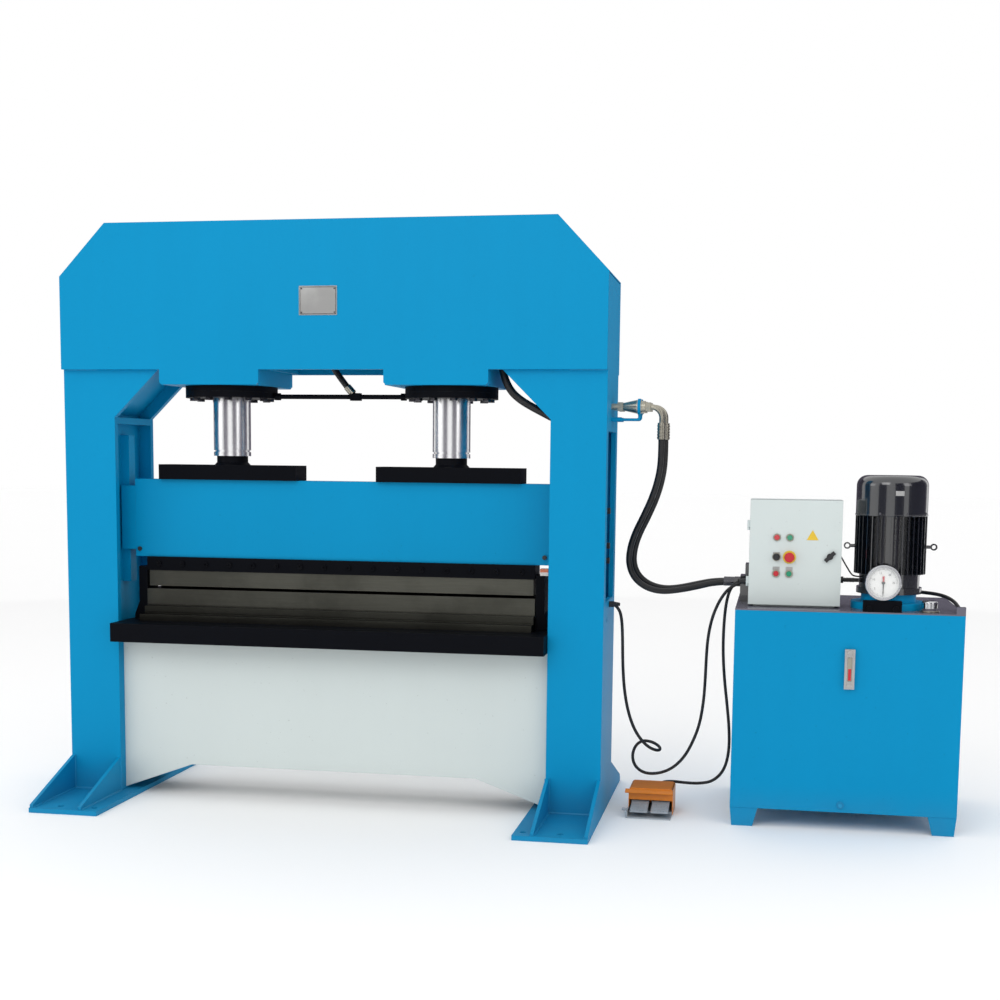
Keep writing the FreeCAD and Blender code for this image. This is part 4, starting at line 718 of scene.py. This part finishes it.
class FrameDetailsOperator(bpy.types.Operator):
    """Weld beads, plate rivets and small fixings on the press frame."""
    bl_idname = "press.frame_details"
    bl_label = "Frame details"

    def execute(self, context):
        self.welds()
        self.plate()
        self.fixings()
        # painted shade: a dark bar behind the lower die darkens the line under the punch
        self.back_stop()
        return {"FINISHED"}

    def welds(self):
        """Beads along the foot gussets, the column feet and under the crosshead."""
        leg = sizes().weld
        bm = bmesh.new()
        for side in (-1, 1):
            for x in (0.945, 0.960, 1.160):
                for depth in (-1, 1):
                    edge = PRESS_X + side * x
                    toe, root = depth * 0.585, depth * (COLUMN_FACE + 0.001)
                    add_bead(bm, (edge, depth * (COLUMN_FACE + 0.002), 0.020), (edge, toe, 0.020), leg)
                    add_bead(bm, (edge, root, 0.022), (edge, root, 0.166), leg * 0.8)
            for depth in (-1, 1):
                face, outer = depth * (COLUMN_FACE + 0.0005), PRESS_X + side * 1.173
                add_bead(bm, (PRESS_X + side * 0.947, face, 0.021), (outer, face, 0.021), leg)
                add_bead(bm, (PRESS_X + side * 1.020, face, 1.850), (outer, face, 1.850), leg * 0.6)
        publish("frame_welds", bm, ROOT, "bead")

    def plate(self):
        """Raised border and four rivets of the bare data plate."""
        left, right, low, high, face = -0.825, -0.662, 2.071, 2.190, -0.2272
        bm = bmesh.new()
        for x0, x1, z0, z1 in ((left + 0.004, right - 0.004, low + 0.004, low + 0.006),
                               (left + 0.004, right - 0.004, high - 0.006, high - 0.004),
                               (left + 0.004, left + 0.006, low + 0.006, high - 0.006),
                               (right - 0.006, right - 0.004, low + 0.006, high - 0.006)):
            add_block(bm, (x0, face - 0.0006, z0), (x1, face + 0.0004, z1))
        publish("plate_border", bm, ROOT, "ring", smooth=False)
        bm = bmesh.new()
        for x in (left + 0.011, right - 0.011):
            for z in (low + 0.011, high - 0.011):
                add_rivet(bm, (x, face, z), -Y, 0.0035, 0.0018)
        publish("plate_rivets", bm, ROOT, "ring")

    def fixings(self):
        """Bolts at the slide's ends, a small sensor on the right-hand end post and the tank's drain plug."""
        bm = bmesh.new()
        for x in (PRESS_X - 0.905, PRESS_X + 0.905):
            add_hexagon(bm, (x, -0.0495, 1.078), -Y, 0.018, 0.009)
        publish("slide_end_bolts", bm, "slide", "black_plastic", smooth=False)
        bm = bmesh.new()
        # small orange sensor whose light lower half is a painted highlight
        add_block(bm, (0.172, -0.058, 1.0008), (0.208, -0.024, 1.031), 0.002)
        publish("end_sensor", bm, ROOT, "sensor")
        bm = bmesh.new()
        add_turned(bm, Vector((1.4325, -0.1548, 0.107)), -Y, ring_profile(0.0002, 0.015, 0, 0.004), 32)
        add_hexagon(bm, (1.4325, -0.158, 0.107), -Y, 0.019, 0.009)
        publish("drain_plug", bm, ROOT, "bead")

    def back_stop(self):
        """Dark bar on the rear of the lower die, with its screws: painted shade that darkens the line under
        the punch.
        """
        bm = bmesh.new()
        add_block(bm, (-1.575, 0.0652, 0.870), (0.145, 0.0722, 0.932), 0.001)
        for i in range(9):
            add_hexagon(bm, (-1.535 + 0.205 * i, 0.0720, 0.885), Y, 0.010, 0.005)
        publish("back_stop", bm, ROOT, "black", smooth=False)


class LinesOperator(bpy.types.Operator):
    """Ferrules on the hose ends and the sleeve on the feed branch."""
    bl_idname = "press.lines"
    bl_label = "Line fittings"

    def execute(self, context):
        self.crimps()
        self.feed()
        return {"FINISHED"}

    def crimps(self):
        """Crimp rings over the two upper ferrules, and plain ferrules at the valves and the ram hose."""
        bm = bmesh.new()
        for x, y in ((0.668, -0.040), (0.678, 0.040)):
            for i in range(5):
                low = 0.003 + 0.012 * i
                add_turned(bm, Vector((x, y, 1.575)), Z, ring_profile(0.0166, 0.0184, low, low + 0.008), 32)
        publish("hose_ferrules", bm, ROOT, "plated")
        bm = bmesh.new()
        for y, z in ((0.175, 0.978), (0.235, 0.978)):
            add_turned(bm, Vector((0.975, y, z)), -X, ring_profile(0.0132, 0.0175, -0.002, 0.046), 32)
        publish("valve_ferrules", bm, ROOT, "ring")
        bm = bmesh.new()
        add_turned(bm, Vector((PRESS_X + 0.722, -0.100, 2.002)), -Z,
                   ring_profile(0.0162, 0.0205, 0, 0.050), 32)
        add_turned(bm, Vector((PRESS_X + 0.986, -0.100, 1.6395)), (-0.927, 0, 0.375),
                   ring_profile(0.0162, 0.0205, 0.004, 0.030), 32)
        publish("ram_hose_ferrules", bm, ROOT, "plated")

    def feed(self):
        """Bright nut at the foot of the feed branch and black hose above it."""
        x, z = PRESS_X + 0.069, 1.746
        along = Vector((-0.052, 0, 0.058)).normalized()
        bm = bmesh.new()
        add_turned(bm, Vector((x, 0, z)) + along * 0.018, along, ring_profile(0.0102, 0.0165, 0, 0.040), 32)
        publish("feed_ferrule", bm, ROOT, "plated")
        route = [(x - 0.036, 0, z + 0.040), (x - 0.054, 0, z + 0.060), (x - 0.118, 0, z + 0.150),
                 (x - 0.140, 0, z + 0.260), (x - 0.140, 0, z + 0.400), (x - 0.140, 0, z + 0.660)]
        spline_piece("feed_sleeve", route, 0.027, ROOT, "rubber")


class GaugeOperator(bpy.types.Operator):
    """Dial, ticks, numbers, bezel and glass of the pressure gauge."""
    bl_idname = "press.gauge"
    bl_label = "Pressure gauge"

    def execute(self, context):
        centre = GAUGE_CENTRE
        bm = bmesh.new()
        add_turned(bm, centre + Y * 0.012, -Y, ring_profile(0.0034, 0.0615, 0, 0.0008, 0.0002), 64)
        publish("gauge_dial", bm, ROOT, "dial")
        bm = bmesh.new()
        for i in range(51):
            self.tick(bm, centre, math.radians(270 * i / 50), sizes().tick * (1.0 if i % 5 == 0 else 0.55))
        publish("gauge_ticks", bm, ROOT, "print", smooth=False)
        self.numbers(centre)
        bm = bmesh.new()
        add_turned(bm, centre, -Y, ring_profile(0.0605, 0.0712, -0.014, 0.003, 0.002), 64)
        publish("gauge_bezel", bm, ROOT, "chrome")
        bm = bmesh.new()
        add_turned(bm, centre, -Y, [(0, 0.0002), (0.0606, 0.0002), (0.0606, 0.0018), (0, 0.0018)], 64)
        publish("gauge_window", bm, ROOT, "glass")
        return {"FINISHED"}

    def tick(self, bm, centre, turn, span):
        """One printed mark on the dial's rim."""
        made = add_block(bm, (-0.0005, 0.0108, -0.057), (0.0005, 0.01115, -0.057 + span))
        bmesh.ops.rotate(bm, verts=made, cent=(0, 0, 0), matrix=Matrix.Rotation(turn, 3, "Y"))
        bmesh.ops.translate(bm, verts=made, vec=centre)

    def numbers(self, centre):
        """Plain numbers at every tenth mark."""
        for i in range(6):
            turn = math.radians(54 * i)
            text = bpy.data.curves.new(f"dial_number_{i}", "FONT")
            text.body = str(i * 5)
            text.size = 0.011
            text.align_x = "CENTER"
            text.align_y = "CENTER"
            text.extrude = 0.00015
            made = bpy.data.objects.new(f"dial_number_{i}", text)
            bpy.context.scene.collection.objects.link(made)
            spot = centre + Vector((-0.040 * math.sin(turn), 0.0108, -0.040 * math.cos(turn)))
            graph = bpy.context.evaluated_depsgraph_get()
            mesh = bpy.data.meshes.new_from_object(made.evaluated_get(graph))
            bpy.data.objects.remove(made)
            mesh.transform(Matrix.Translation(spot) @ Matrix.Rotation(math.pi / 2, 4, "X"))
            mesh.materials.clear()
            mesh.materials.append(finish("print"))
            number = bpy.data.objects.new(f"dial_number_{i}", mesh)
            bpy.context.scene.collection.objects.link(number)
            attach(number, ROOT)


class ControlsOperator(bpy.types.Operator):
    """Rings, legend plates, the plain triangle and the seal on the control box door, whose dark strip is also
    painted shade for the gap round the door.
    """
    bl_idname = "press.controls"
    bl_label = "Control box details"

    def execute(self, context):
        for name, z, outer, slot in (("lamp_rings", 1.182, 0.0156, "chrome"),
                                     ("button_rings", 1.034, 0.0162, "steel")):
            bm = bmesh.new()
            for x in OPERATOR_COLUMNS:
                add_turned(bm, Vector((x, DOOR_FACE, z)), -Y,
                           ring_profile(0.0113, outer, -0.001, 0.0052), 40)
            publish(name, bm, "door", "plated")
        bm = bmesh.new()
        add_turned(bm, Vector((STOP_X, DOOR_FACE, SWITCH_Z)), -Y,
                   ring_profile(0.0113, 0.0265, -0.001, 0.0052), 48)
        publish("stop_ring", bm, "door", "yellow")
        bm = bmesh.new()
        add_turned(bm, Vector((SELECTOR_X, DOOR_FACE, SWITCH_Z)), -Y,
                   ring_profile(0.0142, 0.0172, -0.001, 0.0050), 40)
        publish("selector_ring", bm, "door", "plated")
        self.legends()
        self.triangle()
        self.seal()
        return {"FINISHED"}

    def legends(self):
        """Blank legend plates behind the selector and over the two buttons."""
        bm = bmesh.new()
        for x, low, high in ((SELECTOR_X, 1.103, 1.1215), (SELECTOR_X, 1.048, 1.062), (STOP_X, 1.048, 1.062)):
            add_block(bm, (x - 0.014, DOOR_FACE - 0.0012, low), (x + 0.014, DOOR_FACE + 0.0004, high), 0.0004)
        publish("legend_plates", bm, "door", "plate", smooth=False)

    def triangle(self):
        """Bare yellow triangle."""
        bm = bmesh.new()
        turn = Matrix.Translation((1.2905, DOOR_FACE - 0.0004, 1.187)) @ Matrix.Rotation(math.pi / 2, 4, "X")
        bmesh.ops.create_cone(bm, cap_ends=True, segments=3, radius1=0.0275, radius2=0.0275,
                              depth=0.0008, matrix=turn)
        publish("sign_plate", bm, "door", "yellow", smooth=False)

    def seal(self):
        """Dark seal between the door and the box; its dark strip is also painted shade for the gap round the
        door.
        """
        bm = bmesh.new()
        left, right, low, high = 1.0375, 1.4085, 0.9045, 1.3355
        for x0, x1, z0, z1 in ((left, right, low, low + 0.003), (left, right, high - 0.003, high),
                               (left, left + 0.003, low, high), (right - 0.003, right, low, high)):
            add_block(bm, (x0, -0.0285, z0), (x1, -0.0265, z1))
        publish("door_seal", bm, ROOT, "black_plastic", smooth=False)


class UnitDetailsOperator(bpy.types.Operator):
    """Label, screws and rim on the fan cowl, earth lead, the tank's sight glass and the filler's collar."""
    bl_idname = "press.unit_details"
    bl_label = "Power unit details"

    def execute(self, context):
        middle = MOTOR_AXIS
        bm = bmesh.new()
        add_block(bm, (-0.017, -0.1432, 1.359), (0.017, -0.1418, 1.378))
        bmesh.ops.rotate(bm, verts=bm.verts, cent=(0, 0, 0), matrix=Matrix.Rotation(math.radians(8), 3, "Z"))
        bmesh.ops.translate(bm, verts=bm.verts, vec=middle)
        publish("cowl_label", bm, ROOT, "plate", smooth=False)
        bm = bmesh.new()
        for i in range(8):
            turn = math.radians(45 * i + 22.5)
            out = Vector((math.sin(turn), -math.cos(turn), 0))
            add_rivet(bm, middle + out * 0.1422 + Z * 1.286, out, 0.006, 0.003)
        publish("cowl_screws", bm, ROOT, "ring")
        bm = bmesh.new()
        add_turned(bm, middle + Z * 1.2765, Z, ring_profile(0.1424, 0.1446, 0, 0.006), 96)
        publish("cowl_rim", bm, ROOT, "motor")
        lead = [(1.4078, -0.004, 1.106), (1.418, -0.004, 1.088), (1.434, 0.000, 1.062), (1.449, 0.008, 1.038),
                (1.462, 0.018, 1.026), (1.490, 0.030, 1.024)]
        spline_piece("earth_lead", lead, 0.006, ROOT, "cable")
        bm = bmesh.new()
        add_block(bm, (1.4415, -0.1762, 0.618), (1.4585, -0.1672, 0.713), 0.001)
        publish("sight_column", bm, ROOT, "plated")
        bm = bmesh.new()
        add_block(bm, (1.4440, -0.1766, 0.621), (1.4560, -0.1670, 0.668))
        publish("sight_level", bm, ROOT, "red", smooth=False)
        bm = bmesh.new()
        add_turned(bm, Vector((1.757, -0.083, 0.8972)), Z, ring_profile(0.0292, 0.040, 0, 0.006), 48)
        publish("filler_collar", bm, ROOT, "plated")
        return {"FINISHED"}


class PedalOperator(bpy.types.Operator):
    """Hood lip, side lug and treadle studs of the foot pedal."""
    bl_idname = "press.pedal"
    bl_label = "Foot pedal details"

    def execute(self, context):
        bm = bmesh.new()
        add_block(bm, (0.549, -0.071, 0.1040), (0.7505, -0.0445, 0.1075), 0.001)
        tip = Matrix.Rotation(LIP_TILT, 3, "X")
        bmesh.ops.rotate(bm, verts=bm.verts, cent=(0.65, -0.0445, 0.106), matrix=tip)
        publish("hood_lip", bm, ROOT, "orange")
        bm = bmesh.new()
        add_turned(bm, Vector((0.5665, -0.098, 0.030)), -X, ring_profile(0.0002, 0.0055, 0, 0.026), 20)
        add_block(bm, (0.5605, -0.130, 0.0008), (0.5665, 0.040, 0.028), 0.001)
        publish("pedal_side_lug", bm, ROOT, "grey_plastic")
        for body, left in (("left_treadle", 0.5772), ("right_treadle", 0.6638)):
            bm = bmesh.new()
            for row in range(5):
                for column in range(5):
                    along = -0.121 + 0.015 * row
                    height = TREADLE_PIN_Z - TREADLE_SLOPE * (TREADLE_PIN_Y - along) + 0.0041
                    place = (left + 0.012 + 0.012 * column, along, height)
                    add_rivet(bm, place, (0, -0.242, 0.97), 0.0028, 0.0022)
            publish(body + "_studs", bm, body, "grey_plastic")
        return {"FINISHED"}


STEPS = [StudioOperator, CordsOperator, FinishesOperator, FrameDetailsOperator, LinesOperator,
         GaugeOperator, ControlsOperator, UnitDetailsOperator, PedalOperator]


class PressPanel(bpy.types.Panel):
    """Sidebar panel that lists the steps and settings."""
    bl_idname = "PRESS_PT_steps"
    bl_label = "Press"
    bl_space_type = "VIEW_3D"
    bl_region_type = "UI"
    bl_category = "Press"

    def draw(self, context):
        for step in STEPS:
            self.layout.operator(step.bl_idname)
        for group in ("press_colours", "press_sizes", "press_studio"):
            settings = getattr(context.scene, group)
            for name in settings.__annotations__:
                self.layout.prop(settings, name)


GROUPS = {"press_colours": PressColours, "press_sizes": PressSizes, "press_studio": StudioSettings}


def register():
    """Add the settings, steps and panel to Blender."""
    for kind in (*GROUPS.values(), *STEPS, PressPanel):
        bpy.utils.register_class(kind)
    for name, kind in GROUPS.items():
        setattr(bpy.types.Scene, name, bpy.props.PointerProperty(type=kind))


def unregister():
    """Take the settings, steps and panel away again."""
    for name in GROUPS:
        delattr(bpy.types.Scene, name)
    for kind in (PressPanel, *reversed(STEPS), *GROUPS.values()):
        bpy.utils.unregister_class(kind)


def main():
    """Run every step in order."""
    register()
    for step in STEPS:
        group, name = step.bl_idname.split(".")
        getattr(getattr(bpy.ops, group), name)()


if __name__ == "__main__":
    main()
